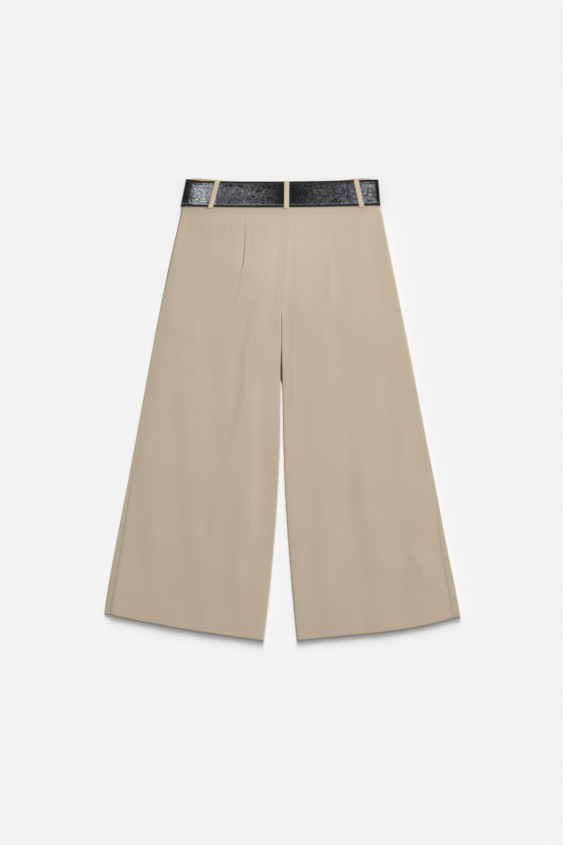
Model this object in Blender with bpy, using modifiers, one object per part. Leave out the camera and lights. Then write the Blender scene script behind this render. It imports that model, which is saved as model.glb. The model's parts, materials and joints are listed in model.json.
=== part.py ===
"""Culottes laid flat with their back up, and a wide patent belt through their belt loops.

Metres, +Z up. +Y runs up the garment to its waist. The back faces up, so -X is the wearer's left.
The front lies on the floor at z = 0, and the back lies on the front.
Every wall of cloth is a surface through the cloth's outer face, with its thickness behind it.
"""

import math
from collections import namedtuple

import bmesh
import bpy
from mathutils import Vector

# Walls, and the gap that is left at every seam
CLOTH = 0.0010
BAND_WALL = 0.0020
LOOP_WALL = 0.0014
STRAP_WALL = 0.0024
SEAM_GAP = 0.0003
PANEL_GAP = 0.0005
FOLD_SEAM_ROOM = 0.0004

# The seam between waistband and panels sags from the sides to the centre back
WAIST_SEAM_CENTRE_Y = 0.3715
WAIST_SEAM_SIDE_Y = 0.3740
CROTCH_Y = 0.200
CROTCH_LENGTH = 0.050

DART_HALF_WIDTH = 0.004

# Hem: the turn's outer radius, the depth turned up inside, and how much higher it makes the leg
HEM_TURN = 0.0012
HEM_DEPTH = 0.032
HEM_RISE = 0.0014
HEM_RISE_LENGTH = 0.060

# Belt strap, its slant where the waist flares, and the heights of the layers at the waist
STRAP_WIDTH = 0.0485
STRAP_CENTRE_Y = 0.4089
STRAP_TILT = 0.0045
STRAP_SAG = 0.0020
STRAP_SAG_WITHIN = 0.154
STRAP_LEFT_END = -0.1868
STRAP_RIGHT_END = 0.1854
STRAP_LEFT_SLANT = 0.200
STRAP_RIGHT_SLANT = 0.080
STRAP_FRONT_FACE = 0.0022
STRAP_GAP = 0.0006
WAIST_GAP = 0.0039
BAND_FRONT_FACE = STRAP_FRONT_FACE + STRAP_WALL + STRAP_GAP
BAND_BACK_FACE = BAND_FRONT_FACE + 2 * BAND_WALL + WAIST_GAP
STRAP_BACK_FACE = BAND_BACK_FACE + STRAP_GAP + STRAP_WALL

# The back falls away towards the folded ends of the waist
CROWN_DROP = 0.0016
CROWN_START = 0.140
CROWN_LENGTH = 0.040

# Buckle and keeper, which lie under the front
BAR_X = 0.020
BAR_WIDTH = 0.0040
BAR_Z = 0.0062
FAR_BAR_X = -0.0225
FAR_BAR_WIDTH = 0.0070
FAR_BAR_Z = 0.0031
FRAME_THICK = 0.0016
FRAME_SIDE_GAP = 0.0006
FRAME_CORNER = 0.006
WINDOW_CORNER = 0.001
FRAME_SIDE_WIDTH = 0.0044
BAR_GAP = 0.0003
EYE_WALL = 0.0009
EYE_LAP = 0.0039
EYE_INSET = 0.0010
PRONG_ROOM = 0.0008
PRONG_WIDTH = 0.0034
PRONG_THICK = 0.0010
HOLE_WIDTH = 0.0044
HOLE_LENGTH = 0.013
HOLE_X = 0.0035
SPARE_HOLE_LENGTH = 0.006
SPARE_HOLE_SPACING = 0.024
UNDER_STRAP_FACE = 0.0014
OVER_STRAP_FACE = 0.00435
FAR_BAR_STRAP_FACE = 0.0044
TIP_X = 0.088
TIP_TAPER = 0.024
TIP_STEPS = 4
TIP_END_SHARE = 0.5
STRAP_FOLD_STEPS = 8
STRAP_BACK_STEPS = 18
KEEPER_X = 0.050
KEEPER_WIDTH = 0.012
KEEPER_WALL = 0.0010
KEEPER_FLOOR_GAP = 0.0001
KEEPER_ROOM = 0.0008
KEEPER_CORNER = 0.0014
FRONT_LIFT = 0.0034

LOOP_WIDTH = 0.0095
LOOP_CORNER = 0.0016

# Inner edges of a leg: how far they roll at the centre seams, and the straight lip at the inseam
CENTRE_SEAM_ROLL = 35.0
INNER_LIP = 0.0005

# How finely the cloth is divided: round a fold, round a roll, and across each piece
FOLD_STEPS = 4
ROLL_STEPS = 3
BACK_OUTER_STEPS = 10
BACK_INNER_STEPS = 8
FRONT_STEPS = 6
BACK_BAND_STEPS = 11
FRONT_BAND_STEPS = 14
# Rows of a panel below its waist seam, then one at each spacing
WAIST_ROWS = (0.0, 0.012, 0.028, 0.048, 0.072)
ROW_SPACING = 0.036
HEM_TURN_STEPS = 5
SMALLEST_STEP = 0.0004
LEFT, RIGHT = -1, 1

# The outline and the levels of the legs, a row for each height. A seam's place is how far it lies
# in from the side fold, on the back if positive and under the front if negative.
Section = namedtuple(
    "Section",
    "y left_side left_inner right_inner right_side left_seam right_seam left_dart right_dart back front",
)
SECTIONS = (
    Section(0.380, -0.1889, 0.0084, 0.0084, 0.1882, -0.0060, -0.0080, -0.0662, 0.0950, 0.0126, 0.0058),
    Section(0.340, -0.1987, 0.0080, 0.0080, 0.1962, -0.0060, -0.0080, -0.0690, 0.0952, 0.0102, 0.0022),
    Section(0.300, -0.2080, 0.0064, 0.0064, 0.2042, -0.0060, -0.0080, -0.0714, 0.0958, 0.0080, 0.0000),
    Section(0.250, -0.2189, 0.0023, 0.0023, 0.2143, -0.0055, -0.0080, -0.0780, 0.0970, 0.0062, 0.0000),
    Section(0.180, -0.2332, 0.0002, 0.0002, 0.2284, -0.0045, -0.0075, -0.0880, 0.1000, 0.0053, 0.0000),
    Section(0.120, -0.2446, 0.0000, 0.0000, 0.2404, -0.0035, -0.0070, -0.0930, 0.1030, 0.0050, 0.0000),
    Section(0.060, -0.2556, -0.0006, 0.0000, 0.2522, -0.0025, -0.0060, -0.0960, 0.1060, 0.0048, 0.0000),
    Section(0.000, -0.2666, -0.0027, 0.0018, 0.2639, -0.0012, -0.0050, -0.1000, 0.1100, 0.0047, 0.0000),
    Section(-0.050, -0.2758, -0.0029, 0.0030, 0.2736, 0.0000, -0.0040, -0.1040, 0.1130, 0.0046, 0.0000),
    Section(-0.150, -0.2945, -0.0072, 0.0064, 0.2926, 0.0060, 0.0005, -0.1130, 0.1200, 0.0046, 0.0000),
    Section(-0.250, -0.3137, -0.0141, 0.0125, 0.3118, 0.0095, 0.0080, -0.1220, 0.1280, 0.0046, 0.0000),
    Section(-0.350, -0.3317, -0.0236, 0.0204, 0.3310, 0.0125, 0.0090, -0.1310, 0.1360, 0.0046, 0.0000),
    Section(-0.440, -0.3440, -0.0342, 0.0292, 0.3470, 0.0140, 0.0105, -0.1390, 0.1430, 0.0046, 0.0000),
)

# The hem's height across a leg, from its inner fold at 0 to its side fold at 1
Hem = namedtuple("Hem", "across left right")
HEMS = (
    Hem(0.00, -0.4385, -0.4385),
    Hem(0.25, -0.4281, -0.4304),
    Hem(0.50, -0.4165, -0.4230),
    Hem(0.75, -0.4028, -0.4114),
    Hem(1.00, -0.3870, -0.3920),
)

# The waistband's folded ends, inside the belt and flaring below it to the panels
BandEnd = namedtuple("BandEnd", "y left right")
BAND_ENDS = (
    BandEnd(0.3740, -0.1905, 0.1895),
    BandEnd(0.3766, -0.1905, 0.1895),
    BandEnd(0.3860, -0.1881, 0.1842),
    BandEnd(0.4100, -0.1834, 0.1822),
    BandEnd(0.4420, -0.1770, 0.1797),
)

# The waistband's upper edge, which shows above the belt beside the outer loops
BandTop = namedtuple("BandTop", "x y")
BAND_TOPS = (
    BandTop(-0.182, 0.4406),
    BandTop(-0.150, 0.4402),
    BandTop(-0.112, 0.4352),
    BandTop(-0.055, 0.4330),
    BandTop(0.005, 0.4342),
    BandTop(0.060, 0.4362),
    BandTop(0.120, 0.4388),
    BandTop(0.145, 0.4412),
    BandTop(0.182, 0.4416),
)

# Darts and the largest folds of the back, each along a straight line: troughs are below zero
Fold = namedtuple("Fold", "name x_from y_from x_to y_to half_width height")
FOLDS = (
    Fold("left_dart", -0.0662, 0.3800, -0.0716, 0.2780, 0.0030, -0.0007),
    Fold("left_dart_tail", -0.0716, 0.2780, -0.0874, 0.1980, 0.0120, -0.0008),
    Fold("left_dart_bulge", -0.0480, 0.3000, -0.0600, 0.2000, 0.0220, 0.0010),
    Fold("right_dart", 0.0950, 0.3800, 0.0958, 0.2970, 0.0030, -0.0007),
    Fold("right_dart_bulge", 0.0990, 0.2850, 0.1000, 0.2000, 0.0160, 0.0009),
    Fold("left_seat_crease", -0.0456, 0.1830, -0.0652, 0.0610, 0.0130, -0.0009),
    Fold("left_thigh_crease", -0.0652, 0.0610, -0.0874, -0.0394, 0.0150, -0.0008),
    Fold("left_leg_crease", -0.1254, -0.0830, -0.1317, -0.1860, 0.0160, -0.0010),
    Fold("left_leg_ridge", -0.0456, 0.0176, -0.0456, -0.2860, 0.0160, 0.0008),
    Fold("right_thigh_crease", 0.0241, 0.1297, 0.0182, -0.0052, 0.0080, -0.0007),
)

# The strap's lower face under the front: away from the buckle's bar, and in through the buckle
StrapRun = namedtuple("StrapRun", "x face steps")
OVER_RUN = (
    StrapRun(BAR_X + 0.0049, OVER_STRAP_FACE, 1),
    StrapRun(0.0920, OVER_STRAP_FACE, 3),
    StrapRun(0.1220, STRAP_FRONT_FACE, 5),
    StrapRun(0.1550, STRAP_FRONT_FACE, 1),
)
UNDER_RUN = (
    StrapRun(-0.1550, STRAP_FRONT_FACE, 1),
    StrapRun(-0.0600, STRAP_FRONT_FACE, 3),
    StrapRun(-0.0290, FAR_BAR_STRAP_FACE, 4),
    StrapRun(-0.0160, FAR_BAR_STRAP_FACE, 2),
    StrapRun(0.0120, UNDER_STRAP_FACE, 5),
    StrapRun(TIP_X - TIP_TAPER, UNDER_STRAP_FACE, 2),
    StrapRun(TIP_X, UNDER_STRAP_FACE, TIP_STEPS),
)

# The inner face of the prong, from its hook round the bar to its point past the far bar
ProngPoint = namedtuple("ProngPoint", "x z")
PRONG_RUN = (
    ProngPoint(0.0150, 0.0062),
    ProngPoint(0.0095, 0.0052),
    ProngPoint(0.0060, 0.0038),
    ProngPoint(0.0005, 0.0015),
    ProngPoint(-0.0030, 0.0008),
    ProngPoint(-0.0225, 0.0005),
    ProngPoint(-0.0280, 0.0005),
)

# Belt loops. The waist's back carries three and its front two
BeltLoop = namedtuple("BeltLoop", "name top_x bottom_x upward")
BELT_LOOPS = (
    BeltLoop("belt_loop_back_left", -0.1207, -0.1352, True),
    BeltLoop("belt_loop_back_center", 0.0099, 0.0094, True),
    BeltLoop("belt_loop_back_right", 0.1410, 0.1524, True),
    BeltLoop("belt_loop_front_left", -0.1240, -0.1300, False),
    BeltLoop("belt_loop_front_right", 0.1260, 0.1320, False),
)


def clear_scene():
    for thing in list(bpy.data.objects):
        bpy.data.objects.remove(thing, do_unlink=True)


def new_collection(name):
    collection = bpy.data.collections.new(name)
    bpy.context.scene.collection.children.link(collection)
    return collection


def new_material(name, colour, roughness, metallic=0.0):
    material = bpy.data.materials.new(name)
    material.use_nodes = True
    shader = material.node_tree.nodes["Principled BSDF"]
    shader.inputs["Base Color"].default_value = (*colour, 1.0)
    shader.inputs["Roughness"].default_value = roughness
    shader.inputs["Metallic"].default_value = metallic
    return material


def crepe():
    return new_material("beige_crepe", (0.48, 0.40, 0.31), 0.85)


def patent_leather():
    return new_material("black_patent_leather", (0.012, 0.012, 0.014), 0.25)


def nickel():
    return new_material("brushed_nickel", (0.60, 0.60, 0.58), 0.35, 1.0)


def mix(a, b, share):
    return a + (b - a) * share


def smooth_step(start, end, at):
    share = min(1.0, max(0.0, (at - start) / (end - start)))
    return share * share * (3.0 - 2.0 * share)


def along_rows(rows, key, column, at):
    """The column's value where the rows' key is `at`, on a smooth curve through the rows."""
    rows = sorted(rows, key=lambda row: getattr(row, key))
    places = [getattr(row, key) for row in rows]
    values = [getattr(row, column) for row in rows]
    last = len(rows) - 1
    index = 0
    while index < last - 1 and at > places[index + 1]:
        index += 1

    def slope(i):
        before, after = max(i - 1, 0), min(i + 1, last)
        return (values[after] - values[before]) / (places[after] - places[before])

    width = places[index + 1] - places[index]
    share = (at - places[index]) / width
    square, cube = share * share, share * share * share
    return (
        values[index] * (2 * cube - 3 * square + 1)
        + slope(index) * width * (cube - 2 * square + share)
        + values[index + 1] * (3 * square - 2 * cube)
        + slope(index + 1) * width * (cube - square)
    )


def section(column, y):
    return along_rows(SECTIONS, "y", column, y)


def side_name(side):
    return "left" if side == LEFT else "right"


def hem_y(side, across):
    return along_rows(HEMS, "across", side_name(side), across)


def waist_seam_y(across):
    return mix(WAIST_SEAM_CENTRE_Y, WAIST_SEAM_SIDE_Y, across * across)


def strap_y(x):
    """The height of the strap's centre line."""
    return STRAP_CENTRE_Y + STRAP_TILT * x + STRAP_SAG * (x / STRAP_SAG_WITHIN) ** 2


def crown(x):
    """How far the back of the waist falls near its folded ends."""
    return CROWN_DROP * min(1.0, max(0.0, (abs(x) - CROWN_START) / CROWN_LENGTH)) ** 2


def front_lift(x):
    """How far the buckle and the strap's two layers push the front waistband up."""
    return FRONT_LIFT * smooth_step(-0.075, -0.020, x) * (1.0 - smooth_step(0.075, 0.130, x))


def near_waist(y):
    """1 at the waist seam, falling to 0 where the panels lie flat."""
    return smooth_step(0.300, WAIST_SEAM_CENTRE_Y, y)


def relief(x, y):
    """The folds' height at a point of the back."""
    total = 0.0
    for fold in FOLDS:
        run_x, run_y = fold.x_to - fold.x_from, fold.y_to - fold.y_from
        length = math.hypot(run_x, run_y)
        along = ((x - fold.x_from) * run_x + (y - fold.y_from) * run_y) / length**2
        off_x = x - fold.x_from - run_x * along
        off_y = y - fold.y_from - run_y * along
        beside = math.hypot(off_x, off_y) / fold.half_width
        ends = smooth_step(-0.15, 0.15, along) * (1.0 - smooth_step(0.80, 1.20, along))
        total += fold.height * ends * math.exp(-beside * beside)
    return total


def back_level(x, y, from_hem):
    hem_rise = HEM_RISE * (1.0 - smooth_step(HEM_DEPTH, HEM_RISE_LENGTH, from_hem))
    return section("back", y) - crown(x) * near_waist(y) + hem_rise + relief(x, y)


def front_level(x, y, from_hem):
    return max(0.0, section("front", y)) + front_lift(x) * near_waist(y)


class LegRing:
    """One section through a leg that lies flat, from its side fold to its inner edge.

    A place on it is a distance from the side fold's outermost line, over the back if positive and
    under the front if negative.
    """

    def __init__(self, side, from_hem):
        self.side, self.from_hem = side, from_hem
        length = waist_seam_y(0.0) - hem_y(side, 0.0)
        self.down = 1.0 - from_hem / length
        side_y, inner_y = self.height(1.0), self.height(0.0)
        name = side_name(side)
        self.side_x = section(name + "_side", side_y)
        self.inner_x = section(name + "_inner", inner_y) + side * SEAM_GAP / 2
        self.seam = section(name + "_seam", side_y)
        self.dart_x = section(name + "_dart", inner_y)
        self.top = back_level(self.side_x, side_y, from_hem)
        self.bottom = front_level(self.side_x, side_y, from_hem)
        self.side_radius = (self.top - self.bottom) / 2
        inner_top = back_level(self.inner_x, inner_y, from_hem)
        inner_bottom = front_level(self.inner_x, inner_y, from_hem)
        self.inner_radius = (inner_top - inner_bottom) / 2 - INNER_LIP
        # The cloth's edge rolls in a little at the centre seam, and fully round below the crotch
        below_crotch = 1.0 - smooth_step(CROTCH_Y - CROTCH_LENGTH, CROTCH_Y, inner_y)
        self.inner_turn = math.radians(mix(CENTRE_SEAM_ROLL, 90.0, below_crotch))
        self.quarter = self.side_radius * math.pi / 2
        roll_width = self.inner_radius * math.sin(self.inner_turn) + INNER_LIP * math.cos(self.inner_turn)
        self.flat = abs(self.side_x - self.inner_x) - roll_width - self.side_radius
        self.roll = self.inner_radius * self.inner_turn
        self.length = self.quarter + self.flat + self.roll + INNER_LIP

    def height(self, across):
        return mix(waist_seam_y(across), hem_y(self.side, across), self.down)

    def place_of(self, x):
        """The place on the back that lies at x."""
        return self.quarter + abs(self.side_x - x) - self.side_radius

    def point(self, place, inset=0.0):
        """A point of the wall's outer face, moved inwards by the inset."""
        over = 1 if place >= 0 else -1
        level = back_level if over > 0 else front_level
        distance = abs(place)
        if distance <= self.quarter:
            angle = place / self.side_radius
            x = self.side_x - self.side * self.side_radius * (1 - math.cos(angle))
            z = (self.top + self.bottom) / 2 + self.side_radius * math.sin(angle)
            normal = (self.side * math.cos(angle), math.sin(angle))
            y = self.height(1.0)
        else:
            rolled = max(0.0, distance - self.quarter - self.flat)
            angle = min(rolled / self.inner_radius, self.inner_turn)
            lip = max(0.0, rolled - self.roll)
            run = min(distance - self.quarter, self.flat)
            x = self.side_x - self.side * (self.side_radius + run)
            y = self.height(abs(x - self.inner_x) / abs(self.side_x - self.inner_x))
            z = level(x, y, self.from_hem)
            x -= self.side * (self.inner_radius * math.sin(angle) + lip * math.cos(angle))
            z -= over * (self.inner_radius * (1 - math.cos(angle)) + lip * math.sin(angle))
            normal = (-self.side * math.sin(angle), over * math.cos(angle))
        return Vector((x - normal[0] * inset, y, z - normal[1] * inset))


def spread(start, end, steps):
    """Evenly spaced places after start, up to and with end."""
    return [mix(start, end, (i + 1) / steps) for i in range(steps)]


def side_fold_places(ring, over):
    """Places from the side seam past the side fold, closed up where the seam lies past it."""
    on_fold = max(0.0, 1.0 - abs(ring.seam) / (2 * ring.quarter))
    places = [ring.seam + over * (PANEL_GAP / 2 + FOLD_SEAM_ROOM * on_fold)]
    for i in range(FOLD_STEPS + 1):
        fold_place = over * ring.quarter * (2 * i / FOLD_STEPS - 1)
        next_place = places[-1] + over * SMALLEST_STEP
        places.append(max(fold_place, next_place) if over > 0 else min(fold_place, next_place))
    return places


def inner_edge_places(ring, over):
    """Places round the inner edge's roll, and one at the seam."""
    roll_start = ring.quarter + ring.flat
    roll = spread(over * roll_start, over * (roll_start + ring.roll), ROLL_STEPS)
    return roll + [over * (ring.length - PANEL_GAP / 2)]


def back_places(ring):
    """Columns of a back panel, one of them along its dart."""
    places = side_fold_places(ring, 1)
    dart = ring.place_of(ring.dart_x)
    places += spread(places[-1], dart - DART_HALF_WIDTH, BACK_OUTER_STEPS)
    places += [dart, dart + DART_HALF_WIDTH]
    places += spread(places[-1], ring.quarter + ring.flat, BACK_INNER_STEPS)
    return places + inner_edge_places(ring, 1)


def front_places(ring):
    places = side_fold_places(ring, -1)
    places += spread(places[-1], -(ring.quarter + ring.flat), FRONT_STEPS)
    return places + inner_edge_places(ring, -1)


def panel_rows(side):
    """(distance from the hem, inset) of each row: down the leg, round the hem and up inside it."""
    length = waist_seam_y(0.0) - hem_y(side, 0.0)
    rows = [(length - distance, 0.0) for distance in WAIST_ROWS]
    start = length - WAIST_ROWS[-1]
    steps = round((start - HEM_RISE_LENGTH) / ROW_SPACING)
    rows += [(place, 0.0) for place in spread(start, HEM_RISE_LENGTH, steps)]
    rows += [(mix(HEM_RISE_LENGTH, HEM_DEPTH, 0.5), 0.0), (HEM_DEPTH, 0.0), (HEM_TURN, 0.0)]
    for i in range(1, HEM_TURN_STEPS + 1):
        angle = math.pi * i / HEM_TURN_STEPS
        rows.append((HEM_TURN * (1 - math.sin(angle)), HEM_TURN * (1 - math.cos(angle))))
    rows.append((HEM_DEPTH, 2 * HEM_TURN))
    return rows


def grid_wall(name, points, wall, outward, collection, material):
    """A wall whose outer face runs through points[row][column], and on the whole faces outward."""
    rows, columns = len(points), len(points[0])
    bm = bmesh.new()
    bmesh.ops.create_grid(bm, x_segments=columns - 1, y_segments=rows - 1, size=1.0)
    for vertex in bm.verts:
        column = round((vertex.co.x + 1) / 2 * (columns - 1))
        row = round((vertex.co.y + 1) / 2 * (rows - 1))
        vertex.co = points[row][column]
    bm.normal_update()
    facing = sum((face.normal * face.calc_area() for face in bm.faces), Vector())
    if facing.dot(outward) < 0:
        bmesh.ops.reverse_faces(bm, faces=bm.faces[:])
    mesh = bpy.data.meshes.new(name)
    bm.to_mesh(mesh)
    bm.free()
    mesh.shade_smooth()
    mesh.materials.append(material)
    thing = bpy.data.objects.new(name, mesh)
    collection.objects.link(thing)
    solidify = thing.modifiers.new("wall", "SOLIDIFY")
    solidify.thickness = wall
    solidify.offset = -1.0
    solidify.use_even_offset = True
    return thing


def make_panel(side, over, collection, material):
    """A back or front leg panel, from the side seam to the centre seam and the inseam."""
    places_of = back_places if over > 0 else front_places
    points = []
    for from_hem, inset in panel_rows(side):
        ring = LegRing(side, from_hem)
        points.append([ring.point(place, inset) for place in places_of(ring)])
    name = ("back" if over > 0 else "front") + "_panel_" + side_name(side)
    return grid_wall(name, points, CLOTH, Vector((0, 0, over)), collection, material)


class BandRing:
    """One section through half of the waistband, up from 0 at its seam to 1 at its top edge."""

    def __init__(self, side, up):
        self.side, self.up = side, up
        name = side_name(side)
        self.seam = section(name + "_seam", WAIST_SEAM_SIDE_Y)
        self.centre_x = section(name + "_inner", WAIST_SEAM_CENTRE_Y)
        self.widest_x = BAND_ENDS[0].left if side == LEFT else BAND_ENDS[0].right
        self.end_y = self.height(self.widest_x)
        self.end_x = along_rows(BAND_ENDS, "y", name, self.end_y)
        self.top = BAND_BACK_FACE - crown(self.end_x)
        self.radius = (self.top - BAND_FRONT_FACE) / 2
        self.quarter = self.radius * math.pi / 2
        self.length = self.quarter + abs(self.end_x - self.centre_x) - self.radius

    def height(self, x):
        across = (x - self.centre_x) / (self.widest_x - self.centre_x)
        return mix(waist_seam_y(min(1.0, across)) + SEAM_GAP, along_rows(BAND_TOPS, "x", "y", x), self.up)

    def point(self, place):
        """A point of the outer face. A place is a distance from the side fold, as on a leg."""
        if abs(place) <= self.quarter:
            angle = place / self.radius
            x = self.end_x - self.side * self.radius * (1 - math.cos(angle))
            return Vector((x, self.end_y, BAND_FRONT_FACE + self.radius * (1 + math.sin(angle))))
        x = self.end_x - self.side * (self.radius + abs(place) - self.quarter)
        z = BAND_BACK_FACE - crown(x) if place > 0 else BAND_FRONT_FACE + front_lift(x)
        return Vector((x, self.height(x), z))


BAND_LEVELS = (0.0, 0.035, 0.18, 0.6, 1.0)


def half_band_points(side, up):
    """Half of the back waistband at one level, from its side seam to the centre back."""
    ring = BandRing(side, up)
    fold = [ring.quarter * (2 * i / FOLD_STEPS - 1) for i in range(FOLD_STEPS + 1)]
    places = [ring.seam + SEAM_GAP / 2] + fold + spread(ring.quarter, ring.length, BACK_BAND_STEPS)
    return [ring.point(place) for place in places]


def make_back_band(collection, material):
    """The back of the waistband, one piece from side seam to side seam round both side folds."""
    points = []
    for up in BAND_LEVELS:
        points.append(half_band_points(LEFT, up) + half_band_points(RIGHT, up)[-2::-1])
    return grid_wall("waistband_back", points, BAND_WALL, Vector((0, 0, 1)), collection, material)


def make_front_band(side, collection, material):
    """Half of the front waistband, from its side seam to the centre front."""
    points = []
    for up in BAND_LEVELS:
        ring = BandRing(side, up)
        start = ring.seam - SEAM_GAP / 2
        places = [start] + spread(start, SEAM_GAP / 2 - ring.length, FRONT_BAND_STEPS)
        points.append([ring.point(place) for place in places])
    name = "waistband_front_" + side_name(side)
    return grid_wall(name, points, BAND_WALL, Vector((0, 0, -1)), collection, material)


def run_points(rows):
    """Points of the strap's lower face between the rows, on smooth ramps."""
    points = [(rows[0].x, rows[0].face)]
    for before, after in zip(rows, rows[1:]):
        for share in spread(0.0, 1.0, after.steps):
            height = mix(before.face, after.face, smooth_step(0.0, 1.0, share))
            points.append((mix(before.x, after.x, share), height))
    return points


def strap_path():
    """(x, z) of the strap's outer face, from its buckle end all the way round to its tip."""
    fold_radius = (STRAP_BACK_FACE - CROWN_DROP - STRAP_FRONT_FACE) / 2
    fold_z = STRAP_FRONT_FACE + fold_radius
    right_fold_x = STRAP_RIGHT_END - fold_radius
    left_fold_x = STRAP_LEFT_END + fold_radius

    def fold(centre_x, start):
        angles = [start + math.pi * i / STRAP_FOLD_STEPS for i in range(STRAP_FOLD_STEPS + 1)]
        return [
            (centre_x + fold_radius * math.cos(angle), fold_z + fold_radius * math.sin(angle))
            for angle in angles
        ]

    back = [
        (x, STRAP_BACK_FACE - crown(x)) for x in spread(right_fold_x, left_fold_x, STRAP_BACK_STEPS)[:-1]
    ]
    return (
        run_points(OVER_RUN)
        + fold(right_fold_x, -math.pi / 2)
        + back
        + fold(left_fold_x, math.pi / 2)
        + run_points(UNDER_RUN)
    )


def strap_slant(x, y):
    """The strap's sideways shift at height y, because the waist flares towards the hips."""
    slant = STRAP_LEFT_SLANT * x / -STRAP_LEFT_END if x < 0 else STRAP_RIGHT_SLANT * x / STRAP_RIGHT_END
    return slant * (strap_y(x) - y)


def make_strap(collection, cutters, material):
    path = strap_path()
    points = []
    for level in (-1.0, -0.5, 0.5, 1.0):
        row = []
        for index, (x, z) in enumerate(path):
            from_tip = TIP_X - x if index >= len(path) - TIP_STEPS else TIP_TAPER
            narrowing = mix(TIP_END_SHARE, 1.0, (from_tip / TIP_TAPER) ** 0.5)
            y = strap_y(x) + level * narrowing * STRAP_WIDTH / 2
            row.append(Vector((x + strap_slant(x, y), y, z)))
        points.append(row)
    strap = grid_wall("belt_strap", points, STRAP_WALL, Vector((0, 0, -1)), collection, material)
    cut(strap, oval_cutter("prong_hole", HOLE_X, HOLE_LENGTH, cutters))
    for index in range(1, 3):
        x = HOLE_X + index * SPARE_HOLE_SPACING
        cut(strap, oval_cutter(f"spare_hole_{index}", x, SPARE_HOLE_LENGTH, cutters))
    add_eye(strap, cutters)
    return strap


def oval_cutter(name, x, length, cutters):
    """An oval punch through the strap's tip end, upright at x."""
    outline = []
    straight = (length - HOLE_WIDTH) / 2
    for i in range(16):
        angle = 2 * math.pi * i / 16
        end = straight if math.cos(angle) > 0 else -straight
        outline.append((end + HOLE_WIDTH / 2 * math.cos(angle), HOLE_WIDTH / 2 * math.sin(angle)))
    place = (x, strap_y(x), UNDER_STRAP_FACE + STRAP_WALL / 2)
    return plate(name, outline, [], 2 * STRAP_WALL, place, (0, 0, 0), cutters)


def rounded_rectangle(length, width, radius, steps=4):
    """The outline of a rectangle with round corners, anticlockwise."""
    outline = []
    for corner in range(4):
        sign_x = 1 if corner in (0, 3) else -1
        sign_y = 1 if corner < 2 else -1
        for i in range(steps + 1):
            angle = math.pi / 2 * (corner + i / steps)
            x = sign_x * (length / 2 - radius) + radius * math.cos(angle)
            y = sign_y * (width / 2 - radius) + radius * math.sin(angle)
            outline.append((x, y))
    return outline


def plate(name, outline, window, thickness, place, turn, collection):
    """A flat plate: an outline with an optional window, filled and extruded."""
    curve = bpy.data.curves.new(name + "_outline", "CURVE")
    curve.dimensions = "2D"
    curve.fill_mode = "BOTH"
    curve.extrude = thickness / 2
    for points in (outline, window):
        if points:
            spline = curve.splines.new("POLY")
            spline.points.add(len(points) - 1)
            for point, (x, y) in zip(spline.points, points):
                point.co = (x, y, 0.0, 1.0)
            spline.use_cyclic_u = True
    guide = bpy.data.objects.new(name + "_guide", curve)
    collection.objects.link(guide)
    bpy.context.view_layer.update()
    evaluated = guide.evaluated_get(bpy.context.evaluated_depsgraph_get())
    mesh = bpy.data.meshes.new_from_object(evaluated)
    mesh.name = name
    bpy.data.objects.remove(guide, do_unlink=True)
    bm = bmesh.new()
    bm.from_mesh(mesh)
    bmesh.ops.remove_doubles(bm, verts=bm.verts[:], dist=0.00001)
    bmesh.ops.recalc_face_normals(bm, faces=bm.faces[:])
    bm.to_mesh(mesh)
    bm.free()
    thing = bpy.data.objects.new(name, mesh)
    thing.location = place
    thing.rotation_euler = turn
    collection.objects.link(thing)
    return thing


def hide_helper(helper):
    helper.hide_render = True
    helper.display_type = "WIRE"


def cut(thing, cutter):
    hide_helper(cutter)
    boolean = thing.modifiers.new("cut_" + cutter.name, "BOOLEAN")
    boolean.operation = "DIFFERENCE"
    boolean.solver = "EXACT"
    boolean.object = cutter


def join(thing, blank):
    hide_helper(blank)
    boolean = thing.modifiers.new("join_" + blank.name, "BOOLEAN")
    boolean.operation = "UNION"
    boolean.solver = "EXACT"
    boolean.object = blank


def block(name, low, high, collection):
    """A box between two corners."""
    mesh = bpy.data.meshes.new(name)
    bm = bmesh.new()
    bmesh.ops.create_cube(bm, size=1.0)
    bmesh.ops.scale(bm, vec=[b - a for a, b in zip(low, high)], verts=bm.verts[:])
    bm.to_mesh(mesh)
    bm.free()
    thing = bpy.data.objects.new(name, mesh)
    thing.location = [(a + b) / 2 for a, b in zip(low, high)]
    collection.objects.link(thing)
    return thing


def add_eye(strap, cutters):
    """The strap's end, skived thin and sewn round the buckle's bar, open where the prong sits."""
    centre_y = strap_y(BAR_X)
    half = STRAP_WIDTH / 2 - EYE_INSET
    half_slot_x, half_slot_z = BAR_WIDTH / 2 + BAR_GAP, FRAME_THICK / 2 + BAR_GAP
    low_x, high_x = BAR_X - half_slot_x - EYE_WALL, BAR_X + half_slot_x + EYE_LAP
    low_z, high_z = BAR_Z - half_slot_z - EYE_WALL, BAR_Z + half_slot_z + EYE_WALL
    eye = block("strap_eye", (low_x, centre_y - half, low_z), (high_x, centre_y + half, high_z), cutters)
    join(strap, eye)
    slot_low = (BAR_X - half_slot_x, centre_y - STRAP_WIDTH, BAR_Z - half_slot_z)
    slot_high = (BAR_X + half_slot_x, centre_y + STRAP_WIDTH, BAR_Z + half_slot_z)
    cut(strap, block("strap_eye_slot", slot_low, slot_high, cutters))
    gap_half = PRONG_WIDTH / 2 + PRONG_ROOM
    gap_low = (low_x - EYE_WALL, centre_y - gap_half, low_z - BAR_GAP / 2)
    gap_high = (BAR_X + half_slot_x + PRONG_THICK + PRONG_ROOM, centre_y + gap_half, high_z + EYE_WALL)
    cut(strap, block("strap_prong_gap", gap_low, gap_high, cutters))


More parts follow.
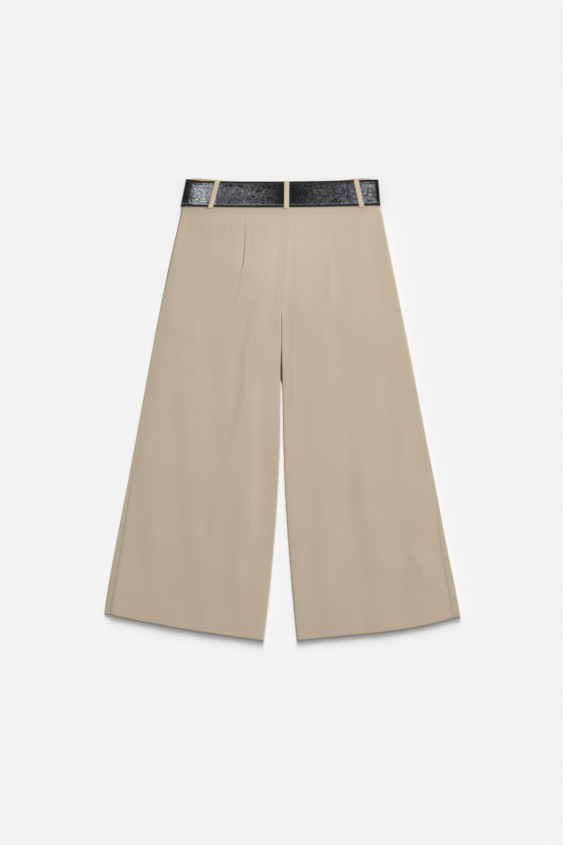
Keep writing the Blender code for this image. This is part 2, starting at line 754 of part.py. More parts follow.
def make_buckle_frame(collection, material):
    """A flat frame, tilted so that its bar lies over the strap's tip and its far bar under it."""
    left = FAR_BAR_X - FAR_BAR_WIDTH / 2
    right = BAR_X + BAR_WIDTH / 2
    window_left = FAR_BAR_X + FAR_BAR_WIDTH / 2
    window_right = BAR_X - BAR_WIDTH / 2
    inner_width = STRAP_WIDTH + 2 * FRAME_SIDE_GAP
    outer = rounded_rectangle(right - left, inner_width + 2 * FRAME_SIDE_WIDTH, FRAME_CORNER)
    shift = (window_left + window_right) / 2 - (left + right) / 2
    window = [
        (x + shift, y)
        for x, y in rounded_rectangle(window_right - window_left, inner_width, WINDOW_CORNER, 2)
    ]
    tilt = -math.atan2(BAR_Z - FAR_BAR_Z, BAR_X - FAR_BAR_X)
    middle_x = (left + right) / 2
    middle_z = mix(FAR_BAR_Z, BAR_Z, (middle_x - FAR_BAR_X) / (BAR_X - FAR_BAR_X))
    place = (middle_x, strap_y(BAR_X), middle_z)
    frame = plate("buckle_frame", outer, window, FRAME_THICK, place, (0, tilt, 0), collection)
    frame.data.materials.append(material)
    return frame


def make_prong(collection, material):
    """A flat prong, hooked round the bar, through the strap's hole and onto the far bar."""
    hook_x = BAR_WIDTH / 2 + BAR_GAP
    hook_z = FRAME_THICK / 2 + BAR_GAP
    corner = 0.0004
    path = [
        (BAR_X - hook_x + 0.0012, BAR_Z - hook_z),
        (BAR_X + hook_x - corner, BAR_Z - hook_z),
        (BAR_X + hook_x, BAR_Z - hook_z + corner),
        (BAR_X + hook_x, BAR_Z + hook_z - corner),
        (BAR_X + hook_x - corner, BAR_Z + hook_z),
        (BAR_X - hook_x + corner, BAR_Z + hook_z),
        (BAR_X - hook_x, BAR_Z + hook_z - corner),
    ]
    path += [(point.x, point.z) for point in PRONG_RUN]
    centre_y = strap_y(BAR_X)
    points = [
        [Vector((x, centre_y + level * PRONG_WIDTH / 2, z)) for x, z in path] for level in (-1.0, 1.0)
    ]
    return grid_wall("buckle_prong", points, PRONG_THICK, Vector((0, 0, -1)), collection, material)


def make_keeper(collection, material):
    """A leather loop round both layers of the strap, standing across it."""
    low = KEEPER_FLOOR_GAP
    high = OVER_STRAP_FACE + STRAP_WALL + SEAM_GAP + KEEPER_WALL
    width = STRAP_WIDTH + 2 * (KEEPER_ROOM + KEEPER_WALL)
    outer = rounded_rectangle(high - low, width, KEEPER_CORNER)
    window = rounded_rectangle(high - low - 2 * KEEPER_WALL, width - 2 * KEEPER_WALL, KEEPER_CORNER / 2, 2)
    place = (KEEPER_X, strap_y(KEEPER_X), (low + high) / 2)
    keeper = plate("belt_keeper", outer, window, KEEPER_WIDTH, place, (0, math.pi / 2, 0), collection)
    keeper.data.materials.append(material)
    return keeper


def make_loop(loop, collection, material):
    """A belt loop: from the waistband round one edge of the strap, over it and back."""
    over = 1 if loop.upward else -1
    middle_x = (loop.top_x + loop.bottom_x) / 2
    if loop.upward:
        band_z = BAND_BACK_FACE - crown(middle_x)
        strap_z = STRAP_BACK_FACE - crown(middle_x)
    else:
        band_z, strap_z = BAND_FRONT_FACE, STRAP_FRONT_FACE
    foot_z = band_z + over * SEAM_GAP
    outer_z = strap_z + over * (SEAM_GAP + LOOP_WALL)
    reach = STRAP_WIDTH / 2 + 2 * SEAM_GAP + LOOP_WALL
    corner = LOOP_CORNER
    profile = [(-reach, foot_z)]
    for centre, start in ((-(reach - corner), math.pi), (reach - corner, math.pi / 2)):
        for i in range(4):
            angle = start - math.pi / 2 * i / 3
            profile.append((centre + corner * math.cos(angle), outer_z - over * corner * (1 - math.sin(angle))))
    profile.append((reach, foot_z))
    points = []
    for level in (-1.0, 0.0, 1.0):
        row = []
        for off, z in profile:
            along = (off + reach) / (2 * reach)
            x = mix(loop.bottom_x, loop.top_x, along) + level * LOOP_WIDTH / 2
            row.append(Vector((x, strap_y(middle_x) + off, z)))
        points.append(row)
    return grid_wall(loop.name, points, LOOP_WALL, Vector((0, 0, over)), collection, material)


clear_scene()
garment = new_collection("culottes")
helpers = new_collection("cutters")
cloth, leather, metal = crepe(), patent_leather(), nickel()
make_back_band(garment, cloth)
for half in (LEFT, RIGHT):
    make_panel(half, 1, garment, cloth)
    make_panel(half, -1, garment, cloth)
    make_front_band(half, garment, cloth)
for belt_loop in BELT_LOOPS:
    make_loop(belt_loop, garment, cloth)
make_strap(garment, helpers, leather)
make_buckle_frame(garment, metal)
make_prong(garment, metal)
make_keeper(garment, leather)
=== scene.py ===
import json
import math
from collections import namedtuple
from functools import partial

import bmesh
import bpy
import numpy as np
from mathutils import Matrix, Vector

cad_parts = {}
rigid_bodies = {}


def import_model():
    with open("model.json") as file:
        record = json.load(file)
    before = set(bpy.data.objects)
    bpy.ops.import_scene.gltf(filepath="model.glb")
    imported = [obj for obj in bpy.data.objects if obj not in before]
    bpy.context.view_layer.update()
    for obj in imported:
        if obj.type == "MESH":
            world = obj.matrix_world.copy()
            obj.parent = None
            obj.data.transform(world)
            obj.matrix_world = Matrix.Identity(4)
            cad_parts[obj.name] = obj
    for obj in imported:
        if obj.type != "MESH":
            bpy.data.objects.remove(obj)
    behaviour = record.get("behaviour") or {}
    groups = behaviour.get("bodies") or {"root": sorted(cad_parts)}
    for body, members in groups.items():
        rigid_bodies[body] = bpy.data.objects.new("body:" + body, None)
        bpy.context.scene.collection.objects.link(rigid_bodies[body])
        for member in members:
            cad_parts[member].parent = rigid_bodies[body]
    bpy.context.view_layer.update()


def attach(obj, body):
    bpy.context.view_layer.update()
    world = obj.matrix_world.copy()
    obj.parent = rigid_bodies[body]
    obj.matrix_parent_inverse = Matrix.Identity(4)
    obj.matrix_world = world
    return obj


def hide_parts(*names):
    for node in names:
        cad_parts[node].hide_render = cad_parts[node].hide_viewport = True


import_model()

# ---------------------------------------------------------------------------------------------
# Leg panels. Each leg is a back and a front panel of heavy beige crepe, sewn at the outseam, the
# inseam and the centre seams, with one pressed dart in each back and a hem turned up inside.
# Metres, +Z up, +Y to the waist. The back faces up, and -X is the wearer's left.
# ---------------------------------------------------------------------------------------------
CLOTH = 0.0008
SEAM_ROOM, PANEL_ROOM = 0.00003, 0.00002
LEFT, RIGHT = -1, 1
BACK, FRONT = 1, -1
SIDE_NAME = {LEFT: "left", RIGHT: "right"}

WAIST_SEAM_CENTRE_Y, WAIST_SEAM_SIDE_Y = 0.3715, 0.3740
WAIST_TURN, WAIST_PRESSED, WAIST_BELOW = 0.0002, 0.050, 0.300
CROTCH_Y, CROTCH_LENGTH = 0.200, 0.050
HEM_TURN, HEM_DEPTH = 0.0012, 0.032
HEM_RISE, HEM_RISE_LENGTH = 0.0008, 0.260

BAND_FRONT_FACE, BAND_BACK_FACE = 0.0052, 0.0131
CROWN_DROP, CROWN_START, CROWN_LENGTH = 0.0016, 0.140, 0.040
FRONT_LIFT, FRONT_LIFT_RISE, FRONT_LIFT_FALL = 0.0034, (-0.075, -0.020), (0.130, 0.075)

# The centre seam is pressed flat at the waist, and rolls in deeper towards the crotch
SEAM_RADIUS_WAIST, SEAM_RADIUS_CROTCH = 0.0003, 0.0016
SEAM_ROLL_WAIST, SEAM_ROLL_CROTCH = 2.0, 50.0
SEAM_DEEPENS = (0.200, 0.166)
SEAM_LIP, INNER_LIP = 0.0003, {LEFT: 0.0010, RIGHT: 0.0002}

# A side fold is pressed, so it is less wide than high
SIDE_PRESSED = 0.6

# The cloth droops towards its side folds and inner edges, most where the leg is widest
SIDE_DROOP, INNER_DROOP = {LEFT: 0.0018, RIGHT: -0.0005}, {LEFT: 0.0, RIGHT: 0.0003}
SIDE_DROOP_WIDTH, INNER_DROOP_WIDTH = 0.014, 0.006
SIDE_DROOP_GROWS, INNER_DROOP_GROWS = (0.30, 0.05), (0.14, 0.04)


def table(columns, *rows, unit=0.001):
    """Rows with named columns, in millimetres unless the unit is 1."""
    row_type = namedtuple("Row", columns)
    return [row_type(*(cell if unit == 1 else round(cell * unit, 9) for cell in row)) for row in rows]


# The outline and levels of the legs at each height. A seam's place is how far it lies in from the
# side fold, on the back if positive.
SECTIONS = table(
    "y left_side right_side left_seam right_seam left_dart right_dart back front",
    (380, -188.9, 189.2, -6, -8, -69, 94.5, 13, 5.8),
    (340, -198.7, 197.5, -6, -8, -70, 94.5, 11.2, 2.2),
    (300, -208, 205.5, -6, -8, -71.8, 95, 9.4, 0),
    (250, -218.9, 215.7, -5.5, -8, -78, 96, 7.5, 0),
    (180, -233.2, 229.8, -4.5, -7.5, -88, 100, 5.9, 0),
    (120, -244.6, 241.7, -3.5, -7, -93, 103, 5.2, 0),
    (60, -255.6, 253.6, -2.5, -6, -96, 106, 4.8, 0),
    (0, -266.6, 264.9, -0.5, -5, -100, 110, 4.7, 0),
    (-50, -275.8, 274.5, 2, -4, -104, 113, 4.6, 0),
    (-150, -294.5, 293.9, 6.1, 3.6, -113, 120, 4.6, 0),
    (-250, -313.7, 312.7, 10.2, 13, -122, 128, 4.6, 0),
    (-350, -331.7, 333, 11.1, 16, -131, 136, 4.6, 0),
    (-440, -344, 348.7, 10.7, 16.5, -139, 143, 4.6, 0),
)
# The centre seam, then the legs' inner edges, which part below the crotch
INNER_EDGES = table(
    "y left_inner right_inner",
    (380, 8.4, 8.4),
    (340, 8, 8),
    (300, 6.4, 6.4),
    (250, 2.3, 2.3),
    (200, -0.1, -0.1),
    (160, -0.6, -0.6),
    (135, -0.8, -0.6),
    (115, -1, -0.3),
    (98, -1.6, 0.3),
    (80, -2.1, 0.8),
    (60, -2.2, 1.2),
    (40, -2.1, 1.6),
    (10, -2.5, 2.3),
    (-50, -2.9, 3.5),
    (-150, -7.2, 6.9),
    (-250, -14.1, 13.3),
    (-350, -23.6, 21.3),
    (-440, -34.2, 29.5),
)
# The hem's height across a leg, from its inner fold at 0 to its side fold at 1
HEMS = table(
    "across left right",
    (0.00, -0.4385, -0.4385),
    (0.25, -0.4281, -0.4304),
    (0.50, -0.4165, -0.4230),
    (0.75, -0.4028, -0.4114),
    (1.00, -0.3870, -0.3920),
    unit=1,
)
# Soft ridges of the back, each along a line, with the width of its left and of its right flank.
# A bow bends the line sideways. A steep left flank lies in shade, and a steep right one in light.
RIDGE_COLUMNS = "x_from y_from x_to y_to bow left right height"
BACK_RIDGES = table(
    RIDGE_COLUMNS,
    (-69, 274, -84, 195, 1, 6, 30, 1),  # left dart tail
    (-52, 305, -64, 205, 0, 20, 16, 0.6),  # left dart fullness
    (-49, 190, -70, 75, -2, 9, 28, 1.6),  # left seat
    (-64, 90, -90, -60, 3, 10, 30, 1.6),  # left thigh
    (-98, -80, -130, -230, 2, 12, 30, 1.3),  # left knee
    (-54, 40, -60, -260, -3, 26, 11, 1.2),  # left light fold
    (-170, -200, -190, -380, 4, 14, 34, 0.8),  # left shin
    (-90, -250, -85, -400, 0, 30, 14, 0.7),  # left inner shin
    (-150, 260, -178, 120, 4, 30, 20, 0.7),  # left hip
    (-0.5, 195, -0.8, 150, 0, 18, 4, 1.2),  # left crotch lift
    (13, 365, 10, 285, 0, 6, 18, 0.7),  # right seam
    (92.2, 288, 93, 205, 0, 10, 8.5, 1.3),  # right dart fullness
    (23.5, 150, 19, 0, 1.2, 5, 26, 1.1),  # right thigh
    (90, 130, 84, 30, 2, 10, 30, 0.8),  # right seat
    (30, 230, 52, 150, -2, 20, 12, 0.6),  # right seat pull
    (150, 290, 175, 170, 0, 26, 16, 0.7),  # right hip
    (145, -30, 162, -190, -4, 30, 16, 0.8),  # right knee
    (170, -200, 188, -300, 0, 24, 18, 1),  # right shin
    (245, -260, 285, -340, 2, 12, 20, 0.9),  # right hem pull
    (60, -180, 72, -370, 3, 12, 32, 0.7),  # right inner shin
)
# The front lies on the floor, so its creases rise from it
FRONT_RIDGES = table(
    RIDGE_COLUMNS,
    (-115, 290, -150, -380, 4, 10, 14, 0.9),  # left crease
    (-15, 190, -70, 120, 3, 8, 12, 1),  # left crotch
    (-60, 40, -85, -170, -3, 14, 20, 0.8),  # left knee
    (-200, -120, -230, -330, 2, 12, 22, 0.8),  # left shin
    (115, 290, 150, -380, -4, 14, 10, 0.9),  # right crease
    (17, 185, 80, 130, -3, 12, 8, 1),  # right crotch
    (50, 30, 70, -190, 3, 20, 14, 0.8),  # right knee
    (210, -100, 250, -310, 0, 22, 12, 0.8),  # right shin
)
FRONT_CREASE_RISE, FRONT_CREASE_FROM_HEM = 0.0002, 0.03
# A ridge wanders and swells along its line by (turns along it, shift by its place), and fades out
RIDGE_WANDER, RIDGE_WANDER_WAVE = 0.0016, (9.0, 40.0)
RIDGE_SWELL, RIDGE_SWELL_WAVE = 0.22, (7.0, 55.0)
RIDGE_START, RIDGE_END = (-0.25, 0.20), (0.75, 1.25)

# Slow ripples, uneven because their lengths have no common measure, and the waist seam's puckers
RIPPLES = table(
    "across along height phase",
    (0.083, 0.93, 0.00024, 2.2),
    (0.057, -0.61, 0.00010, 1.3),
    (0.041, 0.47, 0.00006, 5.1),
    (0.029, -0.33, 0.00003, 0.4),
    (0.019, 0.29, 0.00001, 3.7),
    (0.310, 0.140, 0.00018, 4.4),
    unit=1,
)
PUCKER, PUCKER_LENGTH, PUCKER_WAVES = 0.00016, 0.022, ((0.0021, 1.0), (0.0034, 2.0))

# Seams that show on the back: a groove, and the turned allowance that lifts the cloth beside it
DART_GROOVE, DART_STEP = {LEFT: 0.0009, RIGHT: 0.0003}, {LEFT: 0.0004, RIGHT: 0.0001}
DART_ENDS, DART_FADE = {LEFT: 0.2625, RIGHT: 0.2920}, (-0.008, 0.022)
DART_GROOVE_WIDTH, DART_LEFT_FLANK, DART_SHALLOW = 0.0011, 3.0, 0.3
DART_STEP_WIDTH, DART_STEP_EDGE = 0.009, 0.0012
OUTSEAM_GROOVE, OUTSEAM_STEP = {LEFT: 0.00022, RIGHT: 0.0}, {LEFT: 0.0005, RIGHT: 0.0}
OUTSEAM_GROOVE_WIDTH, OUTSEAM_STEP_EDGE, OUTSEAM_ON_BACK = 0.0010, (-0.0004, 0.0008), (0.004, 0.007)
ALLOWANCE_WIDTH, ALLOWANCE_STEP, ALLOWANCE_GROWS = 0.010, 0.00035, (CROTCH_Y - 0.02, CROTCH_Y + 0.03)

# How finely the panels are divided
ROW_SPACING = {BACK: 0.0030, FRONT: 0.0055}
FOLD_STEPS, FOLD_LEAST, ROLL_STEPS = 9, 0.002, 6
BACK_OUTER_STEPS, BACK_INNER_STEPS, FRONT_STEPS = 42, 36, 52
BESIDE_DART = (-0.0040, -0.0026, -0.0016, -0.0009, -0.0004, 0.0, 0.0004, 0.0009, 0.0016, 0.0026, 0.0040)
WAIST_TURN_STEPS, HEM_TURN_STEPS, HEM_INSIDE_STEPS = 3, 8, 6


def mix(a, b, share):
    return a + (b - a) * share


def smooth_step(start, end, at):
    share = np.clip((at - start) / (end - start), 0.0, 1.0)
    return share * share * (3.0 - 2.0 * share)


def bell(at, width, power=2):
    """1 at 0, and near 0 beyond the width on both sides, the more sharply the higher the power."""
    return np.exp(-(np.abs(at / width) ** power))


def smooth_curve(rows, key, column):
    """A function of the key, on a smooth curve through the column's values."""
    rows = sorted(rows, key=lambda row: getattr(row, key))
    places = np.array([getattr(row, key) for row in rows])
    values = np.array([getattr(row, column) for row in rows])
    before = np.maximum(np.arange(len(rows)) - 1, 0)
    after = np.minimum(np.arange(len(rows)) + 1, len(rows) - 1)
    slopes = (values[after] - values[before]) / (places[after] - places[before])

    def value(at):
        i = np.clip(np.searchsorted(places, at) - 1, 0, len(rows) - 2)
        width = places[i + 1] - places[i]
        share = (at - places[i]) / width
        square, cube = share**2, share**3
        return (
            values[i] * (2 * cube - 3 * square + 1)
            + slopes[i] * width * (cube - 2 * square + share)
            + values[i + 1] * (3 * square - 2 * cube)
            + slopes[i + 1] * width * (cube - square)
        )

    return value


section = {
    column: smooth_curve(rows, "y", column)
    for rows in (SECTIONS, INNER_EDGES)
    for column in rows[0]._fields[1:]
}
hem_y = {side: smooth_curve(HEMS, "across", SIDE_NAME[side]) for side in (LEFT, RIGHT)}


def waist_seam_y(across):
    return mix(WAIST_SEAM_CENTRE_Y, WAIST_SEAM_SIDE_Y, across * across)


def leg_length(side):
    return waist_seam_y(0.0) - hem_y[side](0.0)


def crown(x):
    """How far the back of the waist falls near its folded ends."""
    return CROWN_DROP * np.clip((np.abs(x) - CROWN_START) / CROWN_LENGTH, 0.0, 1.0) ** 2


def front_lift(x):
    """How far the buckle and the strap's two layers push the front waistband up."""
    return FRONT_LIFT * smooth_step(*FRONT_LIFT_RISE, x) * smooth_step(*FRONT_LIFT_FALL, x)


def near_waist(y):
    return smooth_step(WAIST_BELOW, WAIST_SEAM_CENTRE_Y, y)


def relief(ridges, x, y):
    """The height that the ridges and ripples add at each point."""
    total = np.zeros_like(x)
    for ridge in ridges:
        run_x, run_y = ridge.x_to - ridge.x_from, ridge.y_to - ridge.y_from
        length = math.hypot(run_x, run_y)
        along = ((x - ridge.x_from) * run_x + (y - ridge.y_from) * run_y) / length**2
        beside = ((x - ridge.x_from) * -run_y + (y - ridge.y_from) * run_x) / length
        beside = beside - ridge.bow * np.sin(math.pi * np.clip(along, 0.0, 1.0))
        beside -= RIDGE_WANDER * np.sin(RIDGE_WANDER_WAVE[0] * along + RIDGE_WANDER_WAVE[1] * ridge.x_from)
        # A line that runs down the leg has its left flank on its far side
        leftward = -1.0 if run_y > 0 else 1.0
        width = np.where(beside * leftward < 0, ridge.left, ridge.right)
        swell = np.sin(RIDGE_SWELL_WAVE[0] * along + RIDGE_SWELL_WAVE[1] * ridge.y_from)
        ends = smooth_step(*RIDGE_START, along) * (1.0 - smooth_step(*RIDGE_END, along))
        total += ridge.height * (1.0 - RIDGE_SWELL + RIDGE_SWELL * swell) * ends * bell(beside, width)
    for ripple in RIPPLES:
        total += ripple.height * np.sin(2 * math.pi * (x / ripple.across + y / ripple.along) + ripple.phase)
    return total


def waist_puckers(x, y):
    """Small vertical gathers that the waist seam draws in the cloth below it."""
    below = np.exp(-np.maximum(WAIST_SEAM_CENTRE_Y - y, 0.0) / PUCKER_LENGTH)
    return PUCKER * below * sum(np.sin(x / length + shift) for length, shift in PUCKER_WAVES)


class LegRing:
    """One section through a leg that lies flat. A place on it is a distance from the side fold's
    outermost line, over the back if positive and under the front if negative.
    """

    def __init__(self, side, from_hem):
        self.side, self.from_hem = side, from_hem
        self.down = 1.0 - from_hem / leg_length(side)
        side_y, inner_y = self.height(1.0), self.height(0.0)
        self.side_x, self.seam = (float(self.curve(part)(side_y)) for part in ("side", "seam"))
        self.inner_x = float(self.curve("inner")(inner_y)) + side * SEAM_ROOM
        self.dart_x = float(self.curve("dart")(inner_y))
        self.top, self.bottom = self.levels(self.side_x, side_y)
        self.side_radius = (self.top - self.bottom) / 2
        self.side_reach = SIDE_PRESSED * self.side_radius
        inner_top, inner_bottom = self.levels(self.inner_x, inner_y)
        # The cloth's edge rolls in tightly at the centre seam, and fully round below the crotch
        open_leg = 1.0 - smooth_step(CROTCH_Y - CROTCH_LENGTH, CROTCH_Y, inner_y)
        deep = float(smooth_step(*SEAM_DEEPENS, inner_y))
        self.lip = mix(SEAM_LIP, INNER_LIP[side], float(open_leg))
        full_radius = (inner_top - inner_bottom) / 2 - self.lip
        seam_radius = mix(SEAM_RADIUS_WAIST, SEAM_RADIUS_CROTCH, deep)
        seam_roll = mix(SEAM_ROLL_WAIST, SEAM_ROLL_CROTCH, deep)
        self.inner_radius = float(mix(seam_radius, full_radius, open_leg))
        self.inner_turn = math.radians(float(mix(seam_roll, 90.0, open_leg)))
        self.quarter = math.pi / 2 * math.sqrt((self.side_radius**2 + self.side_reach**2) / 2)
        roll_width = self.inner_radius * math.sin(self.inner_turn) + self.lip * math.cos(self.inner_turn)
        self.flat = abs(self.side_x - self.inner_x) - roll_width - self.side_reach
        self.roll = self.inner_radius * self.inner_turn
        self.length = self.quarter + self.flat + self.roll + self.lip

    def curve(self, part):
        return section[f"{SIDE_NAME[self.side]}_{part}"]

    def height(self, across):
        return mix(waist_seam_y(across), hem_y[self.side](across), self.down)

    def levels(self, x, y):
        """The back's and the front's level at one point."""
        x, y = np.array([x]), np.array([y])
        return float(self.back_level(x, y)[0]), float(self.front_level(x, y)[0])

    def seam_relief(self, x, y):
        """The dart, the outseam and the centre seam, pressed into the back."""
        end = DART_ENDS[self.side]
        on_dart = smooth_step(end + DART_FADE[0], end + DART_FADE[1], y)
        from_dart = (x - self.dart_x) * -self.side
        deep = mix(DART_SHALLOW, 1.0, smooth_step(WAIST_SEAM_CENTRE_Y, end, y))
        groove_width = DART_GROOVE_WIDTH * np.where(x < self.dart_x, DART_LEFT_FLANK, 1.0)
        groove = -DART_GROOVE[self.side] * deep * bell(from_dart, groove_width, 1)
        inward = np.clip(from_dart / DART_STEP_EDGE, 0.0, 1.0)
        inward = inward * bell(np.maximum(from_dart, 0.0), DART_STEP_WIDTH, 4)
        total = on_dart * (groove + DART_STEP[self.side] * inward)
        lifted = ALLOWANCE_STEP * smooth_step(*ALLOWANCE_GROWS, y)
        total += lifted * bell(x - self.inner_x, ALLOWANCE_WIDTH, 6)
        from_outseam = np.abs(self.side_x - x) - self.seam
        on_back = smooth_step(*OUTSEAM_ON_BACK, self.seam)
        total -= on_back * OUTSEAM_GROOVE[self.side] * bell(from_outseam, OUTSEAM_GROOVE_WIDTH, 1)
        inside = smooth_step(*OUTSEAM_STEP_EDGE, from_outseam) * bell(from_outseam, ALLOWANCE_WIDTH, 4)
        return total + on_back * OUTSEAM_STEP[self.side] * inside

    def back_level(self, x, y):
        hem_rise = HEM_RISE * (1.0 - smooth_step(HEM_TURN, HEM_RISE_LENGTH, self.from_hem))
        side_droop = SIDE_DROOP[self.side] * smooth_step(*SIDE_DROOP_GROWS, y)
        inner_droop = INNER_DROOP[self.side] * smooth_step(*INNER_DROOP_GROWS, y)
        droop = side_droop * bell(self.side_x - x, SIDE_DROOP_WIDTH)
        droop += inner_droop * bell(x - self.inner_x, INNER_DROOP_WIDTH)
        level = section["back"](y) - crown(x) * near_waist(y) + hem_rise - droop
        level = level + relief(BACK_RIDGES, x, y) + waist_puckers(x, y) + self.seam_relief(x, y)
        return mix(level, BAND_BACK_FACE - crown(x), smooth_step(-WAIST_PRESSED, 0.0, y - WAIST_SEAM_SIDE_Y))

    def front_level(self, x, y):
        creases = np.maximum(0.0, relief(FRONT_RIDGES, x, y) + FRONT_CREASE_RISE)
        creases = creases * smooth_step(0.0, FRONT_CREASE_FROM_HEM, self.from_hem)
        return np.maximum(0.0, section["front"](y)) + front_lift(x) * near_waist(y) + creases

    def place_of(self, x):
        """The place on the back that lies at x."""
        return self.quarter + abs(self.side_x - x) - self.side_reach

    def points(self, places, inset=0.0):
        """Points of the cloth's outer face, moved inwards by the inset, and their flat pattern."""
        places = np.array(places)
        over = np.where(places >= 0, 1.0, -1.0)
        distance = np.abs(places)
        on_fold = distance <= self.quarter
        run = np.minimum(distance - self.quarter, self.flat)
        flat_x = self.side_x - self.side * (self.side_reach + run)
        flat_y = self.height(np.abs(flat_x - self.inner_x) / abs(self.side_x - self.inner_x))
        flat_z = np.where(over > 0, self.back_level(flat_x, flat_y), self.front_level(flat_x, flat_y))
        # Past the flat run the cloth rolls in, and ends in a straight lip
        rolled = np.maximum(0.0, distance - self.quarter - self.flat)
        turn = np.minimum(rolled / self.inner_radius, self.inner_turn)
        lip = np.maximum(0.0, rolled - self.roll)
        roll_x = flat_x - self.side * (self.inner_radius * np.sin(turn) + lip * np.cos(turn))
        roll_z = flat_z - over * (self.inner_radius * (1 - np.cos(turn)) + lip * np.sin(turn))
        # The side fold is half an ellipse between the back's and the front's level at its end
        angle = places / self.quarter * math.pi / 2
        fold_x = self.side_x - self.side * self.side_reach * (1 - np.cos(angle))
        fold_z = (self.top + self.bottom) / 2 + self.side_radius * np.sin(angle)
        out_x, out_z = self.side_radius * np.cos(angle), self.side_reach * np.sin(angle)
        steep = np.hypot(out_x, out_z)
        x = np.where(on_fold, fold_x, roll_x)
        y = np.where(on_fold, self.height(1.0), flat_y)
        z = np.where(on_fold, fold_z, roll_z)
        normal_x = np.where(on_fold, self.side * out_x / steep, -self.side * np.sin(turn))
        normal_z = np.where(on_fold, out_z / steep, over * np.cos(turn))
        pattern_x = self.side_x - self.side * (self.side_reach + distance - self.quarter)
        corners = np.stack([x - normal_x * inset, y, z - normal_z * inset], axis=1)
        return corners, np.stack([pattern_x, y], axis=1)


def spread(start, end, steps):
    """Evenly spaced places after start, up to and with end."""
    return [mix(start, end, (i + 1) / steps) for i in range(steps)]


def back_places(ring):
    """Columns of a back panel: from the outseam round the side fold, past the dart, to the lip."""
    start = ring.seam + PANEL_ROOM
    places = [start] + spread(start, max(ring.quarter, start + FOLD_LEAST), FOLD_STEPS)
    dart = ring.place_of(ring.dart_x)
    places += spread(places[-1], dart + BESIDE_DART[0], BACK_OUTER_STEPS)
    places += [dart + offset for offset in BESIDE_DART[1:]]
    places += spread(places[-1], ring.quarter + ring.flat, BACK_INNER_STEPS)
    places += spread(places[-1], ring.quarter + ring.flat + ring.roll, ROLL_STEPS)
    return places + [ring.length - PANEL_ROOM]


def front_places(ring):
    start = ring.seam - PANEL_ROOM
    places = [start] + spread(start, min(-ring.quarter, start - FOLD_LEAST), 2 * FOLD_STEPS)
    places += spread(places[-1], -(ring.quarter + ring.flat), FRONT_STEPS)
    places += spread(places[-1], -(ring.quarter + ring.flat + ring.roll), ROLL_STEPS)
    return places + [PANEL_ROOM - ring.length]


def panel_rows(side, spacing):
    """(distance from the hem, inset) of each row: down the leg, round the hem and up inside it."""
    start = leg_length(side) - WAIST_TURN
    rows = []
    for i in range(WAIST_TURN_STEPS):
        angle = math.pi / 2 * (1 - i / WAIST_TURN_STEPS)
        inset = WAIST_TURN * (1 - math.cos(angle))
        rows.append((leg_length(side) - WAIST_TURN * (1 - math.sin(angle)), inset))
    down_leg = spread(start, HEM_TURN, round((start - HEM_TURN) / spacing))
    rows += [(place, 0.0) for place in [start] + down_leg]
    for angle in np.linspace(0.0, math.pi, HEM_TURN_STEPS + 1)[1:]:
        rows.append((HEM_TURN * (1 - math.sin(angle)), HEM_TURN * (1 - math.cos(angle))))
    return rows + [(place, 2 * HEM_TURN) for place in spread(HEM_TURN, HEM_DEPTH, HEM_INSIDE_STEPS)]


def add_object(name, data):
    added = bpy.data.objects.new(name, data)
    bpy.context.scene.collection.objects.link(added)
    return added


def cloth_piece(name, points, pattern, wall, outward, material):
    """A thin shell whose outer face runs through points[row][column], and the area of its cut. Its
    flat pattern in metres is its UV map.
    """
    points, pattern = np.array(points), np.array(pattern)
    rows, columns = points.shape[:2]
    index = np.arange(rows * columns).reshape(rows, columns)
    quads = np.stack([index[:-1, :-1], index[:-1, 1:], index[1:, 1:], index[1:, :-1]], axis=-1)
    quads = quads.reshape(-1, 4)
    corners = points.reshape(-1, 3)
    a, b, c, d = (corners[quads[:, i]] for i in range(4))
    facing = np.cross(c - a, d - b) / 2
    if facing.sum(axis=0) @ np.array(outward) < 0:
        quads = quads[:, ::-1]
    mesh = bpy.data.meshes.new(name)
    mesh.from_pydata(corners.tolist(), [], quads.tolist())
    uv = mesh.uv_layers.new(name="pattern")
    uv.data.foreach_set("uv", pattern.reshape(-1, 2)[quads.reshape(-1)].reshape(-1))
    mesh.shade_smooth()
    mesh.materials.append(material)
    piece = add_object(name, mesh)
    shell = piece.modifiers.new("cloth", "SOLIDIFY")
    shell.thickness = wall
    shell.offset = -1.0
    return piece, float(np.linalg.norm(facing, axis=1).sum())


def linear(hex_colour):
    """A linear colour from its sRGB hex value."""
    shares = [int(hex_colour[i : i + 2], 16) / 255 for i in (1, 3, 5)]
    return (*[s / 12.92 if s <= 0.04045 else ((s + 0.055) / 1.055) ** 2.4 for s in shares], 1.0)


def set_inputs(tree, node, inputs):
    """Each input is given as a value or as the socket it takes."""
    for name, value in inputs.items():
        if isinstance(value, bpy.types.NodeSocket):
            tree.links.new(value, node.inputs[name])
        else:
            node.inputs[name].default_value = value


def add_node(tree, kind, inputs=None, stops=(), **settings):
    """The outputs of a new node with its settings, inputs and colour stops."""
    node = tree.nodes.new(kind)
    for name, value in settings.items():
        setattr(node, name, value)
    set_inputs(tree, node, inputs or {})
    if stops:
        while len(node.color_ramp.elements) < len(stops):
            node.color_ramp.elements.new(1.0)
        for stop, (place, colour) in zip(node.color_ramp.elements, stops):
            stop.position, stop.color = place, colour
    return node.outputs


def new_material(name, inputs_of):
    """A material whose shader takes the inputs that inputs_of gives, from nodes that it adds."""
    material = bpy.data.materials.new(name)
    material.use_nodes = True
    tree = material.node_tree
    set_inputs(tree, tree.nodes["Principled BSDF"], inputs_of(partial(add_node, tree)))
    return material


MATH, NOISE, RAMP, REMAP = "ShaderNodeMath", "ShaderNodeTexNoise", "ShaderNodeValToRGB", "ShaderNodeMapRange"
BUMP, MIX = "ShaderNodeBump", "ShaderNodeMix"

